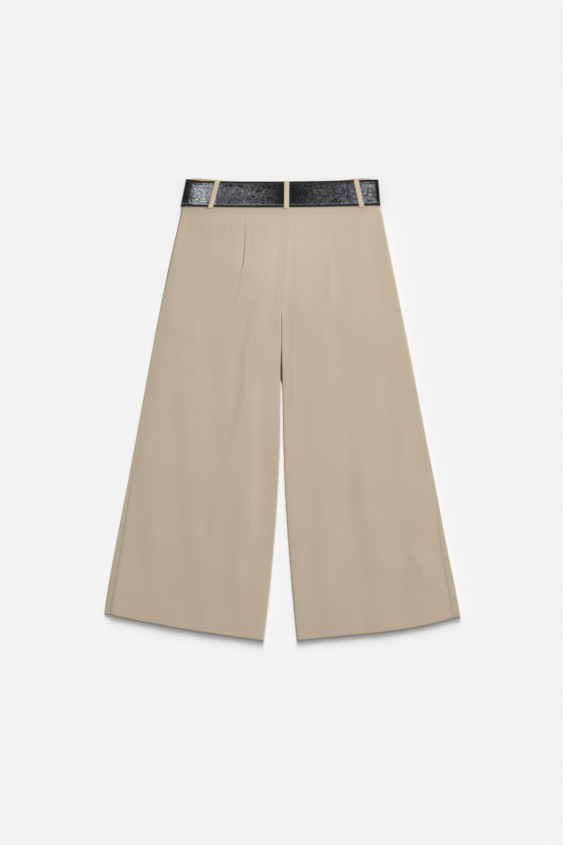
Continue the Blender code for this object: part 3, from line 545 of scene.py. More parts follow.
# Heavy polyester crepe, woven from hard-twisted yarns: a matt beige with a dry pebble grain and faint
# upright streaks. The raised streaks are painted lighter, partly the yarns' own tone and partly a painted
# highlight; the low pits between the pebbles are painted darker, a painted shade. Real yarns lie 0.35 mm
# apart, too fine to show, so the pebbles are drawn 1.6 mm apart and the streaks 3 mm.
PEBBLE_SPACING = 0.0016
STREAK_SPACING, STREAK_LENGTH = 0.0030, 0.030
CLOUD_SIZE = 0.11
CREPE_DARK, CREPE_LIGHT = "#beae9a", "#c5b6a1"


def crepe_inputs(add):
    pattern = add("ShaderNodeUVMap", uv_map="pattern")["UV"]
    stretch = (1 / STREAK_SPACING, 1 / STREAK_LENGTH, 1.0)
    stretched = add("ShaderNodeMapping", {"Vector": pattern, "Scale": stretch})["Vector"]
    pebble_inputs = {"Vector": pattern, "Scale": 1 / PEBBLE_SPACING, "Detail": 3.0, "Roughness": 0.65}
    streak_inputs = {"Vector": stretched, "Scale": 1.0, "Detail": 4.0, "Roughness": 0.6}
    cloud_inputs = {"Vector": pattern, "Scale": 1 / CLOUD_SIZE, "Detail": 2.0}
    pebbles, streaks, clouds = (
        add(NOISE, inputs, noise_dimensions="2D")["Fac"]
        for inputs in (pebble_inputs, streak_inputs, cloud_inputs)
    )
    dark, light = linear(CREPE_DARK), linear(CREPE_LIGHT)
    # The raised streaks: the yarns' own tone, with a painted highlight along them
    streak_tone_and_highlight = add(RAMP, {"Fac": streaks}, [(0.1, dark), (0.9, light)])["Color"]
    clouded = add(RAMP, {"Fac": clouds}, [(0.2, dark), (0.8, light)])["Color"]
    # The low pits of the grain are painted darker: a painted shade
    pit_shade = add(RAMP, {"Fac": pebbles}, [(0.3, linear("#d8d6d2")), (0.6, linear("#ffffff"))])["Color"]
    # A mix of colours has its factor and colours at inputs 0, 6 and 7, and its colour at output 2
    colour = add(MIX, {0: 0.35, 6: streak_tone_and_highlight, 7: clouded}, data_type="RGBA")[2]
    pit_shaded = add(MIX, {0: 0.30, 6: colour, 7: pit_shade}, data_type="RGBA", blend_type="MULTIPLY")[2]
    grain = add(MATH, {0: streaks, 1: 0.7, 2: pebbles}, operation="MULTIPLY_ADD")[0]
    return {
        "Base Color": pit_shaded,
        "Roughness": add(REMAP, {"Value": pebbles, "To Min": 0.82, "To Max": 0.96})["Result"],
        "Normal": add(BUMP, {"Strength": 0.45, "Distance": 0.00030, "Height": grain})["Normal"],
        "IOR": 1.45,
        "Specular IOR Level": 0.25,
        "Sheen Weight": 0.06,
        "Sheen Roughness": 0.5,
    }


crepe = new_material("beige_polyester_crepe", crepe_inputs)

# The crotch seam's allowance, which lies deep in the slit where the legs part and ends aslant
ALLOWANCE_FROM, ALLOWANCE_TO, ALLOWANCE_LEAN = 0.145, 0.0590, 3.0
ALLOWANCE_HALF, ALLOWANCE_LEVEL = 0.0022, 0.0006


def make_crotch_allowance():
    x, along = np.meshgrid(np.linspace(-1, 1, 3) * ALLOWANCE_HALF, np.linspace(0.0, 1.0, 12))
    end = ALLOWANCE_TO - ALLOWANCE_LEAN * (x + ALLOWANCE_HALF)
    points = np.stack([x, mix(ALLOWANCE_FROM, end, along), np.full_like(x, ALLOWANCE_LEVEL)], axis=-1)
    piece, _ = cloth_piece("crotch_seam_allowance", points, points[..., :2], CLOTH, (0, 0, 1), crepe)
    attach(piece, "root")
    return piece


crotch_allowance = make_crotch_allowance()


def make_panel(side, face):
    places_of = back_places if face == BACK else front_places
    points, pattern = [], []
    for from_hem, inset in panel_rows(side, ROW_SPACING[face]):
        ring = LegRing(side, from_hem)
        row, flat = ring.points(places_of(ring), inset)
        turned = -2 * from_hem if inset > HEM_TURN else 0.0
        points.append(row)
        pattern.append(flat + np.array([0.0 if face == BACK else 1.0, turned]))
    name = ("back" if face == BACK else "front") + "_panel_" + SIDE_NAME[side]
    piece, area = cloth_piece(name + "_crepe", points, pattern, CLOTH, (0, 0, face), crepe)
    hem_ring = LegRing(side, HEM_TURN)
    flat = (hem_ring.length + abs(hem_ring.seam), leg_length(side) + HEM_DEPTH)
    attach(piece, "root")
    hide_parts(name)


for side in (LEFT, RIGHT):
    for face in (BACK, FRONT):
        make_panel(side, face)

# ---------------------------------------------------------------------------------------------
# Stitches. Every sewn row is spun polyester thread, laid down by a lockstitch machine as a row of
# equal short stitches that sink a little into what they hold.
# ---------------------------------------------------------------------------------------------
STITCH_SEGMENTS, STITCH_RINGS = 6, 5


def stitch_tree():
    """A row of stitches along a guide curve."""
    tree = bpy.data.node_groups.new("stitch_row", "GeometryNodeTree")
    for name, kind in (
        ("Guide", "Geometry"),
        ("Spacing", "Float"),
        ("Stitch", "Float"),
        ("Thread", "Float"),
        ("Finish", "Material"),
    ):
        tree.interface.new_socket(name, in_out="INPUT", socket_type="NodeSocket" + kind)
    tree.interface.new_socket("Stitches", in_out="OUTPUT", socket_type="NodeSocketGeometry")
    add = partial(add_node, tree)
    given = add("NodeGroupInput")
    line_inputs = {"Curve": given["Guide"], "Length": given["Spacing"]}
    spaced = add("GeometryNodeResampleCurve", line_inputs, mode="LENGTH")
    ball_inputs = {"Segments": STITCH_SEGMENTS, "Rings": STITCH_RINGS, "Radius": 0.5}
    ball = add("GeometryNodeMeshUVSphere", ball_inputs)["Mesh"]
    size = add("ShaderNodeCombineXYZ", {"X": given["Stitch"], "Y": given["Thread"], "Z": given["Thread"]})
    stitch = add("GeometryNodeTransform", {"Geometry": ball, "Scale": size["Vector"]})["Geometry"]
    tangent = add("GeometryNodeInputTangent")["Tangent"]
    turned = add("FunctionNodeAlignRotationToVector", {"Vector": tangent}, axis="X")["Rotation"]
    row_inputs = {"Points": spaced["Curve"], "Instance": stitch, "Rotation": turned}
    row = add("GeometryNodeInstanceOnPoints", row_inputs)["Instances"]
    real = add("GeometryNodeRealizeInstances", {"Geometry": row})["Geometry"]
    smooth = add("GeometryNodeSetShadeSmooth", {"Geometry": real})["Geometry"]
    finished = add("GeometryNodeSetMaterial", {"Geometry": smooth, "Material": given["Finish"]})["Geometry"]
    add("NodeGroupOutput", {"Stitches": finished})
    return tree


stitch_row = stitch_tree()


def plain_mesh(thing):
    """The evaluated mesh of a thing with modifiers."""
    bpy.context.view_layer.update()
    return bpy.data.meshes.new_from_object(thing.evaluated_get(bpy.context.evaluated_depsgraph_get()))


def sew(name, rows, spacing, stitch, thread, finish):
    """Stitches along rows of points, as one plain mesh."""
    guide = bpy.data.curves.new(name + "_guide", "CURVE")
    guide.dimensions = "3D"
    for row in rows:
        spline = guide.splines.new("POLY")
        spline.points.add(len(row) - 1)
        for point, place in zip(spline.points, row):
            point.co = (*place, 1.0)
    line = add_object(name + "_line", guide)
    modifier = line.modifiers.new("stitches", "NODES")
    modifier.node_group = stitch_row
    values = {"Spacing": spacing, "Stitch": stitch, "Thread": thread, "Finish": finish}
    for item in stitch_row.interface.items_tree:
        if item.name in values:
            modifier[item.identifier] = values[item.name]
    mesh = plain_mesh(line)
    mesh.name = name
    bpy.data.objects.remove(line, do_unlink=True)
    piece = add_object(name, mesh)
    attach(piece, "root")
    return piece


# Spun thread dyed to match the cloth, with a low sheen; its twist, 0.4 mm, is too fine to show,
# and is drawn 1 mm long
THREAD_TWIST = 0.0010


def thread_inputs(add, low, high, roughness):
    place = add("ShaderNodeTexCoord")["Object"]
    twist = add(NOISE, {"Vector": place, "Scale": 1 / THREAD_TWIST, "Detail": 2.0})["Fac"]
    colour = add(RAMP, {"Fac": twist}, [(0.3, linear(low)), (0.7, linear(high))])["Color"]
    return {"Base Color": colour, "Roughness": roughness}


beige_thread = new_material(
    "beige_spun_thread", partial(thread_inputs, low="#a99880", high="#c4b49d", roughness=0.7)
)

# The hem is blind-stitched: only small pricks of thread show on the outside
PRICK_SPACING, PRICK_LENGTH, PRICK_THREAD, PRICK_SUNK = 0.0085, 0.0011, 0.0004, 0.3
PRICK_ABOVE_HEM, PRICK_FROM_FOLD, PRICK_STEPS = HEM_DEPTH - 0.003, 0.004, 60


def hem_rows():
    rows = []
    for face in (BACK, FRONT):
        for side in (LEFT, RIGHT):
            ring = LegRing(side, PRICK_ABOVE_HEM)
            start = ring.quarter + PRICK_FROM_FOLD
            places = [start] + spread(start, ring.quarter + ring.flat, PRICK_STEPS)
            rows.append(ring.points([face * place for place in places], PRICK_THREAD * PRICK_SUNK)[0])
    return rows


hem_pricks = sew("hem_stitches", hem_rows(), PRICK_SPACING, PRICK_LENGTH, PRICK_THREAD, beige_thread)

# A hidden fly closes the front. Only the curved row that holds its facing shows
FLY_WIDTH, FLY_MARGIN = 0.034, 0.002
FLY_BEND_Y, FLY_END_Y = 0.250, 0.206
FLY_SPACING, FLY_STITCH, FLY_THREAD, FLY_SUNK = 0.0032, 0.0026, 0.00045, 0.2
FLY_STEPS, FLY_BEND_STEPS = 30, 14
FLY_FROM_HEM = 0.5


def fly_row():
    """Down beside the centre front on the right panel, then in an arc to the seam."""
    straight_y = np.linspace(WAIST_SEAM_CENTRE_Y - FLY_MARGIN, FLY_BEND_Y, FLY_STEPS)
    angle = np.linspace(0.0, math.pi / 2, FLY_BEND_STEPS)[1:]
    y = np.concatenate([straight_y, FLY_BEND_Y - (FLY_BEND_Y - FLY_END_Y) * np.sin(angle)])
    bent = FLY_MARGIN + (FLY_WIDTH - FLY_MARGIN) * np.cos(angle)
    x = section["right_inner"](y) + np.concatenate([np.full_like(straight_y, FLY_WIDTH), bent])
    level = LegRing(RIGHT, FLY_FROM_HEM).front_level(x, y)
    return np.stack([x, y, level + FLY_THREAD * FLY_SUNK], axis=1)


fly_stitches = sew("fly_stitches", [fly_row()], FLY_SPACING, FLY_STITCH, FLY_THREAD, beige_thread)

# ---------------------------------------------------------------------------------------------
# Waistband. A stiffened strip of the same crepe, folded along its top edge and sewn on above the
# panels: one back piece that runs round both sides, and two front ones that meet at the closure.
# ---------------------------------------------------------------------------------------------
BAND_PLY, BAND_DEPTH = 0.0008, 0.062
BAND_FOLD, BAND_FOLD_STEPS = 0.0010, 8
BAND_TURN, BAND_TURN_STEPS = 0.00015, 4
BAND_INSIDE_END, BAND_ROWS = 0.06, 14
BACK_BAND_STEPS, FRONT_BAND_STEPS = 70, 60

BAND_ENDS = table(
    "y left right",
    (374, -190.5, 189.5),
    (376.6, -190.5, 189.5),
    (386, -188.1, 184.2),
    (410, -183.4, 182.2),
    (442, -177, 179.7),
)
BAND_TOPS = table(
    "x y",
    (-190, 434),
    (-178, 436),
    (-168, 437.4),
    (-158, 437.7),
    (-145, 436.9),
    (-130, 435.6),
    (-112, 433.8),
    (-92, 432),
    (-55, 431.1),
    (5, 431.2),
    (60, 432.2),
    (105, 433.6),
    (125, 436),
    (137, 437.6),
    (152, 438.1),
    (167.5, 437.4),
    (171.5, 436.1),
    (174.5, 433.8),
    (177.5, 432.6),
    (190, 432),
)
band_end = {side: smooth_curve(BAND_ENDS, "y", SIDE_NAME[side]) for side in (LEFT, RIGHT)}
band_top = smooth_curve(BAND_TOPS, "x", "y")


class BandRing:
    """One section through half of the waistband, up from 0 at its seam to 1 at its top edge."""

    def __init__(self, side, up):
        self.side, self.up = side, up
        self.seam = float(section[SIDE_NAME[side] + "_seam"](WAIST_SEAM_SIDE_Y))
        self.centre_x = float(section[SIDE_NAME[side] + "_inner"](WAIST_SEAM_CENTRE_Y))
        self.widest_x = getattr(BAND_ENDS[0], SIDE_NAME[side])
        self.end_y = float(self.height(np.array([self.widest_x]))[0])
        self.end_x = float(band_end[side](self.end_y))
        self.radius = (BAND_BACK_FACE - float(crown(self.end_x)) - BAND_FRONT_FACE) / 2
        self.quarter = self.radius * math.pi / 2
        self.length = self.quarter + abs(self.end_x - self.centre_x) - self.radius

    def height(self, x):
        across = np.minimum(1.0, (x - self.centre_x) / (self.widest_x - self.centre_x))
        return mix(waist_seam_y(across), band_top(x), self.up)

    def points(self, places, inset, rise, along):
        """Points of the cloth's outer face and their flat pattern."""
        places = np.array(places)
        on_fold = np.abs(places) <= self.quarter
        angle = np.clip(places / self.radius, -math.pi / 2, math.pi / 2)
        over = np.where(places >= 0, 1.0, -1.0)
        flat_x = self.end_x - self.side * (self.radius + np.abs(places) - self.quarter)
        fold_x = self.end_x - self.side * self.radius * (1 - np.cos(angle))
        flat_z = np.where(over > 0, BAND_BACK_FACE - crown(flat_x), BAND_FRONT_FACE + front_lift(flat_x))
        fold_z = BAND_FRONT_FACE + self.radius * (1 + np.sin(angle))
        x = np.where(on_fold, fold_x - self.side * np.cos(angle) * inset, flat_x)
        y = np.where(on_fold, self.end_y, self.height(flat_x)) + rise
        z = np.where(on_fold, fold_z - np.sin(angle) * inset, flat_z - over * inset)
        pattern = np.stack([self.side * places + 2.0, np.full_like(places, along)], axis=1)
        return np.stack([x, y, z], axis=1), pattern


def band_rows():
    """(up, inset, rise, distance along the strip) of each row, from the seam over the top fold."""
    rows = []
    for angle in np.linspace(math.pi / 2, 0.0, BAND_TURN_STEPS, endpoint=False):
        rows.append((0.0, BAND_TURN * (1 - math.cos(angle)), BAND_TURN * (1 - math.sin(angle)), 0.0))
    for up in [0.0] + spread(0.0, 1.0, BAND_ROWS):
        rows.append((up, 0.0, BAND_TURN * (1 - up), BAND_TURN + up * BAND_DEPTH))
    for angle in np.linspace(0.0, math.pi, BAND_FOLD_STEPS + 1)[1:-1]:
        inset, rise = BAND_FOLD * (1 - math.cos(angle)), BAND_FOLD * math.sin(angle)
        rows.append((1.0, inset, rise, BAND_DEPTH + BAND_FOLD * angle))
    for up in [1.0] + spread(1.0, BAND_INSIDE_END, BAND_ROWS):
        rows.append((up, 2 * BAND_FOLD, 0.0, BAND_DEPTH * (2 - up) + BAND_FOLD * math.pi))
    return rows


def half_band(side, places_of):
    """The points and the flat pattern of each row of half a band."""
    halves = []
    for up, inset, rise, along in band_rows():
        ring = BandRing(side, up)
        halves.append(ring.points(places_of(ring), inset, rise, along))
    return [list(rows) for rows in zip(*halves)]


def back_band_places(ring):
    start = ring.seam + PANEL_ROOM
    places = [start] + spread(start, ring.quarter, 2 * FOLD_STEPS)
    return places + spread(ring.quarter, ring.length, BACK_BAND_STEPS)


def front_band_places(ring):
    start = ring.seam - PANEL_ROOM
    return [start] + spread(start, PANEL_ROOM - ring.length, FRONT_BAND_STEPS)


def finish_band(name, points, pattern, outward):
    piece, area = cloth_piece(name + "_crepe", points, pattern, BAND_PLY, outward, crepe)
    run = float(np.linalg.norm(np.diff(np.array(points[BAND_ROWS]), axis=0), axis=1).sum())
    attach(piece, "root")
    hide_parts(name)


left_half, right_half = half_band(LEFT, back_band_places), half_band(RIGHT, back_band_places)
# The two halves of the back band are one strip, joined at the row's last place
whole = [
    [np.concatenate([left, right[-2::-1]]) for left, right in zip(*rows)]
    for rows in zip(left_half, right_half)
]
finish_band("waistband_back", *whole, (0, 0, 1))
for side in (LEFT, RIGHT):
    finish_band("waistband_front_" + SIDE_NAME[side], *half_band(side, front_band_places), (0, 0, -1))

# ---------------------------------------------------------------------------------------------
# Belt loops. Strips of crepe folded in three and edge-stitched, 9.5 mm wide, sewn into the waist
# seam and turned under at the band's top edge. They stand round the strap's two edges.
# ---------------------------------------------------------------------------------------------
STRAP_WIDTH, STRAP_WALL = 0.0497, 0.0024
STRAP_CENTRE_Y, STRAP_TILT, STRAP_SAG, STRAP_SAG_WITHIN = 0.4078, 0.0060, 0.0020, 0.154
STRAP_FRONT_FACE, STRAP_GAP = 0.0022, 0.0006
STRAP_BACK_FACE = BAND_BACK_FACE + STRAP_GAP + STRAP_WALL

LOOP_WIDTH, LOOP_WALL, LOOP_EDGE, LOOP_ROOM = 0.0095, 0.0014, 0.0005, 0.0003
LOOP_CORNER, LOOP_CORNER_STEPS, LOOP_FLAT_STEPS, LOOP_FACE_STEPS = 0.0016, 6, 16, 6
LOOP_TOP_PULL, LOOP_SIDE_SHARE = 0.0010, 0.6
LOOP_STITCH_INSET, LOOP_STITCH_SUNK, LOOP_GROOVE = 0.0016, 0.00002, 0.00018
LOOP_SPACING, LOOP_STITCH, LOOP_THREAD = 0.0026, 0.0020, 0.0004

BELT_LOOPS = table(
    "name top_x bottom_x over",
    ("belt_loop_back_left", -0.1207, -0.1352, BACK),
    ("belt_loop_back_center", 0.0099, 0.0094, BACK),
    ("belt_loop_back_right", 0.1410, 0.1524, BACK),
    ("belt_loop_front_left", -0.1240, -0.1300, FRONT),
    ("belt_loop_front_right", 0.1260, 0.1320, FRONT),
    unit=1,
)
# Parts of a strip's section, as indexes of its materials
FACE, EDGE, LINING = 0, 1, 2
GROOVE_WIDTH, LINING_COLUMNS = 0.0004, 5
CORNER_ANGLES = np.linspace(0.0, math.pi / 2, 4).tolist()


def strap_y(x):
    """The height of the strap's centre line."""
    return STRAP_CENTRE_Y + STRAP_TILT * x + STRAP_SAG * (x / STRAP_SAG_WITHIN) ** 2


def strip_section(width, wall, edge, face_steps, groove_at=None, groove=0.0):
    """(across, depth, part) round a strip's section, with a sunk line where it is stitched."""
    half = width / 2
    places = set(np.linspace(-half + edge, half - edge, face_steps + 1).tolist())
    if groove_at is not None:
        for centre in (-half + groove_at, half - groove_at):
            places |= {centre + share * GROOVE_WIDTH for share in (-2.0, -1.0, 0.0, 1.0, 2.0)}
    row = []
    for place in sorted(places):
        from_groove = half - abs(place) - (groove_at or 0.0)
        row.append((place, groove * math.exp(-((from_groove / GROOVE_WIDTH) ** 2)), FACE))
    turns = [(edge * (1 - math.sin(angle)), edge * (1 - math.cos(angle))) for angle in CORNER_ANGLES]
    rounded = [(half - inward, sunk) for inward, sunk in turns[1:]]
    rounded += [(half - sunk, wall - inward) for inward, sunk in turns[:-1]]
    row += [(across, depth, EDGE) for across, depth in rounded]
    row += [(place, wall, LINING) for place in np.linspace(half - edge, -half + edge, LINING_COLUMNS)]
    return row + [(-across, wall - depth, EDGE) for across, depth in rounded]


def running_lengths(places):
    """How far along a closed ring of places each lies, and the whole way round."""
    steps = np.diff(np.array([*places, places[0]], dtype=float), axis=0)
    return [0.0, *np.cumsum(np.linalg.norm(steps, axis=1))]


def solid_piece(name, bm, materials=()):
    """An object of the bmesh, with its faces turned outwards."""
    bmesh.ops.recalc_face_normals(bm, faces=bm.faces[:])
    mesh = bpy.data.meshes.new(name)
    bm.to_mesh(mesh)
    bm.free()
    for material in materials:
        mesh.materials.append(material)
    return add_object(name, mesh)


def strip_piece(name, stations, strip, place_of, materials, closed=False):
    """A strip swept through its stations. place_of gives a point from station, across and depth."""
    bm = bmesh.new()
    verts = [[bm.verts.new(place_of(station, *spot[:2])) for spot in strip] for station in stations]
    pattern = bm.loops.layers.uv.new("pattern")
    lengths = running_lengths([place_of(station, 0.0, 0.0) for station in stations])
    around = running_lengths([spot[:2] for spot in strip])
    for i in range(len(stations) if closed else len(stations) - 1):
        ahead = verts[(i + 1) % len(stations)]
        for k, (_, _, part) in enumerate(strip):
            beside = (k + 1) % len(strip)
            face = bm.faces.new([verts[i][k], ahead[k], ahead[beside], verts[i][beside]])
            face.material_index = min(part, len(materials) - 1)
            face.smooth = True
            for loop, (a, b) in zip(face.loops, ((i, k), (i + 1, k), (i + 1, k + 1), (i, k + 1))):
                loop[pattern].uv = (lengths[a], around[b])
    if not closed:
        for ring in (verts[0], verts[-1]):
            bm.faces.new(ring).material_index = min(EDGE, len(materials) - 1)
    return solid_piece(name, bm, materials)


def loop_stations(loop):
    """(off, z, outward y, outward z) from the loop's lower foot over the strap to its upper one,
    then how far it reaches from its middle, and how high it stands.
    """
    faces = (BAND_BACK_FACE, STRAP_BACK_FACE) if loop.over == BACK else (BAND_FRONT_FACE, STRAP_FRONT_FACE)
    fall = float(crown((loop.top_x + loop.bottom_x) / 2)) if loop.over == BACK else 0.0
    foot_z = faces[0] - fall + loop.over * LOOP_ROOM
    outer_z = faces[1] - fall + loop.over * (LOOP_ROOM + LOOP_WALL)
    reach = STRAP_WIDTH / 2 + 2 * LOOP_ROOM + LOOP_WALL
    corner_z = outer_z - loop.over * LOOP_CORNER
    stations = [(-reach, z, -1.0, 0.0) for z in (foot_z, mix(foot_z, corner_z, LOOP_SIDE_SHARE))]
    for angle in np.linspace(0.0, math.pi / 2, LOOP_CORNER_STEPS + 1):
        c, s = math.cos(angle), math.sin(angle)
        off, z = -reach + LOOP_CORNER * (1 - c), corner_z + loop.over * LOOP_CORNER * s
        stations.append((off, z, -c, loop.over * s))
    foot = list(stations)
    flat = reach - LOOP_CORNER
    stations += [(off, outer_z, 0.0, float(loop.over)) for off in spread(-flat, flat, LOOP_FLAT_STEPS)[:-1]]
    stations += [(-off, z, -out_y, out_z) for off, z, out_y, out_z in reversed(foot)]
    # The upper end is pulled down over the strap's edge
    pulled = [(off - LOOP_TOP_PULL * max(0.0, off / reach) ** 3, *rest) for off, *rest in stations]
    return pulled, reach, abs(outer_z - foot_z)


def make_loop(loop):
    stations, reach, rise = loop_stations(loop)
    middle_y = strap_y((loop.top_x + loop.bottom_x) / 2)

    def place_of(station, across, depth):
        off, z, out_y, out_z = station
        x = mix(loop.bottom_x, loop.top_x, (off + reach) / (2 * reach)) + across
        return (x, middle_y + off - out_y * depth, z - out_z * depth)

    strip = strip_section(LOOP_WIDTH, LOOP_WALL, LOOP_EDGE, LOOP_FACE_STEPS, LOOP_STITCH_INSET, LOOP_GROOVE)
    piece = strip_piece(loop.name + "_crepe", stations, strip, place_of, [crepe])
    stitch_at = LOOP_WIDTH / 2 - LOOP_STITCH_INSET
    rows = [[place_of(s, across, LOOP_STITCH_SUNK) for s in stations] for across in (-stitch_at, stitch_at)]
    seams = sew(loop.name + "_stitches", rows, LOOP_SPACING, LOOP_STITCH, LOOP_THREAD, beige_thread)
    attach(piece, "root")
    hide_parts(loop.name)


for loop in BELT_LOOPS:
    make_loop(loop)

# ---------------------------------------------------------------------------------------------
# Belt strap. One strip of black crackled patent leather, 49.7 mm wide and 2.4 mm thick, backed and
# stitched along both edges. Its end is skived, folded round the buckle's bar and sewn; its tip
# has punched holes and runs back under the buckle end.
# ---------------------------------------------------------------------------------------------
FRONT_DROP, FRONT_DROP_FADES, FRONT_BELOW = 0.0060, (0.115, 0.046), BAND_FRONT_FACE + 0.002
STRAP_LEFT_END, STRAP_LEFT_SLANT = -0.1873, 0.200
STRAP_RIGHT_END, STRAP_RIGHT_SLANT = 0.1861, 0.080
LEFT_FLARE, LEFT_FLARE_FROM = 0.0028, -0.150
STRAP_FOLD_STEPS, STRAP_BACK_STEPS = 18, 110
BAR_X, BAR_Z = 0.020, 0.0062
UNDER_STRAP_FACE, OVER_STRAP_FACE, FAR_BAR_STRAP_FACE = 0.0014, 0.00435, 0.0044
TIP_X, TIP_TAPER, TIP_END_SHARE, TIP_STATIONS = 0.088, 0.024, 0.42, 20

RUN_COLUMNS = "x face steps"
OVER_RUN = table(
    RUN_COLUMNS,
    (BAR_X + 0.0049, OVER_STRAP_FACE, 1),
    (0.0920, OVER_STRAP_FACE, 24),
    (0.1220, STRAP_FRONT_FACE, 12),
    (0.1550, STRAP_FRONT_FACE, 10),
    unit=1,
)
UNDER_RUN = table(
    RUN_COLUMNS,
    (-0.1550, STRAP_FRONT_FACE, 1),
    (-0.0600, STRAP_FRONT_FACE, 28),
    (-0.0290, FAR_BAR_STRAP_FACE, 12),
    (-0.0160, FAR_BAR_STRAP_FACE, 5),
    (0.0120, UNDER_STRAP_FACE, 12),
    (TIP_X - TIP_TAPER, UNDER_STRAP_FACE, 14),
    (TIP_X, UNDER_STRAP_FACE, 14),
    unit=1,
)


def run_points(rows):
    points = [(rows[0].x, rows[0].face)]
    for before, after in zip(rows, rows[1:]):
        for share in spread(0.0, 1.0, after.steps):
            face = mix(before.face, after.face, float(smooth_step(0.0, 1.0, share)))
            points.append((mix(before.x, after.x, share), face))
    return points


def with_outward(path, turn):
    """(x, z, outward x, outward z) along a path, with its outer side to the right if turn is 1."""
    stations = []
    for index, (x, z) in enumerate(path):
        x_before, z_before = path[max(index - 1, 0)]
        x_after, z_after = path[min(index + 1, len(path) - 1)]
        run = turn * math.hypot(x_after - x_before, z_after - z_before)
        stations.append((x, z, (z_after - z_before) / run, (x_before - x_after) / run))
    return stations


def strap_stations():
    """(x, z, outward x, outward z, narrowing) from the buckle all the way round to the tip."""
    radius = (STRAP_BACK_FACE - CROWN_DROP - STRAP_FRONT_FACE) / 2
    right_x, left_x = STRAP_RIGHT_END - radius, STRAP_LEFT_END + radius
    folds = []
    for centre_x, start in ((right_x, -math.pi / 2), (left_x, math.pi / 2)):
        angles = np.linspace(start, start + math.pi, STRAP_FOLD_STEPS + 1)
        z = STRAP_FRONT_FACE + radius + radius * np.sin(angles)
        folds.append(list(zip(centre_x + radius * np.cos(angles), z)))
    back = [(x, STRAP_BACK_FACE - float(crown(x))) for x in spread(right_x, left_x, STRAP_BACK_STEPS)[:-1]]
    path = run_points(OVER_RUN) + folds[0] + back + folds[1] + run_points(UNDER_RUN)
    stations = []
    for index, (x, *rest) in enumerate(with_outward(path, 1)):
        near_tip = index > len(path) - TIP_STATIONS
        from_tip = min(1.0, max(0.0, TIP_X - x) / TIP_TAPER) if near_tip else 1.0
        stations.append((x, *rest, mix(TIP_END_SHARE, 1.0, from_tip**0.5)))
    return stations


def front_drop(x):
    """How much lower the buckled front of the belt lies than its back."""
    return FRONT_DROP * smooth_step(*FRONT_DROP_FADES, abs(x))


def strap_place(station, across, depth):
    x, z, out_x, out_z, narrowing = station
    flare = LEFT_FLARE * float(smooth_step(LEFT_FLARE_FROM, STRAP_LEFT_END, x))
    y = strap_y(x) + across * narrowing + flare * (0.5 + across / STRAP_WIDTH)
    slant = STRAP_LEFT_SLANT * x / -STRAP_LEFT_END if x < 0 else STRAP_RIGHT_SLANT * x / STRAP_RIGHT_END
    dropped = y - (front_drop(x) if z < FRONT_BELOW else 0.0)
    return (x - out_x * depth + slant * (strap_y(x) - y), dropped, z - out_z * depth)


# Patent leather: split hide under a thick lacquer that was crushed until it cracked. The lacquer
# is near black and mirror-smooth between the cracks. Each crack's lifted lip is painted pale
# blue-grey: partly its own colour, partly a painted glint of the lamps. Real cracks are 0.3 mm wide
# and 2 mm apart, and are drawn 2 mm wide and 8 mm apart so that they show.
CRACK_SPACING, CRACK_BEND = 0.0080, 0.0050
LEATHER_NOISES = table(
    "name size detail distortion",
    ("bend", 0.0075, 3.0, 0.0),
    ("scratch", 0.0072, 2.0, 1.2),
    ("break", 0.0070, 2.0, 0.5),
    ("patch", 0.022, 3.0, 0.0),
    unit=1,
)
LACQUER, CRACK_LIP_AND_GLINT = "#08090a", "#d4d8de"

# How strongly the pale lips show along the belt's back: the cracks, with a painted sheen where the
# lacquer caught the lamps, strongest near the left end and fading to none at the folded ends
CRACK_AND_SHEEN_SHARES = table(
    "x share",
    (0.1800, 0.00),
    (0.1755, 0.55),
    (0.1550, 0.55),
    (0.1300, 0.28),
    (0.0950, 0.20),
    (0.0600, 0.14),
    (0.0300, 0.03),
    (0.0000, 0.02),
    (-0.0250, 0.12),
    (-0.0500, 0.30),
    (-0.0900, 0.30),
    (-0.1200, 0.30),
    (-0.1340, 1.00),
    (-0.1620, 1.00),
    (-0.1705, 0.40),
    (-0.1755, 0.04),
    (-0.1790, 0.00),
    unit=1,
)
FRONT_CRACK_SHARE, CRACK_SHARE_FADE = 0.2, 0.02

all_stations = strap_stations()
middle_line = np.array([strap_place(station, 0.0, 0.0) for station in all_stations])
station_lengths = np.array(running_lengths(middle_line)[:-1])


def strap_share_at(x):
    """The share of the strap's length that comes before a place on its back."""
    on_back = middle_line[:, 2] > STRAP_BACK_FACE - CROWN_DROP - 0.0008
    return float(np.interp(-x, -middle_line[on_back, 0], station_lengths[on_back])) / station_lengths[-1]


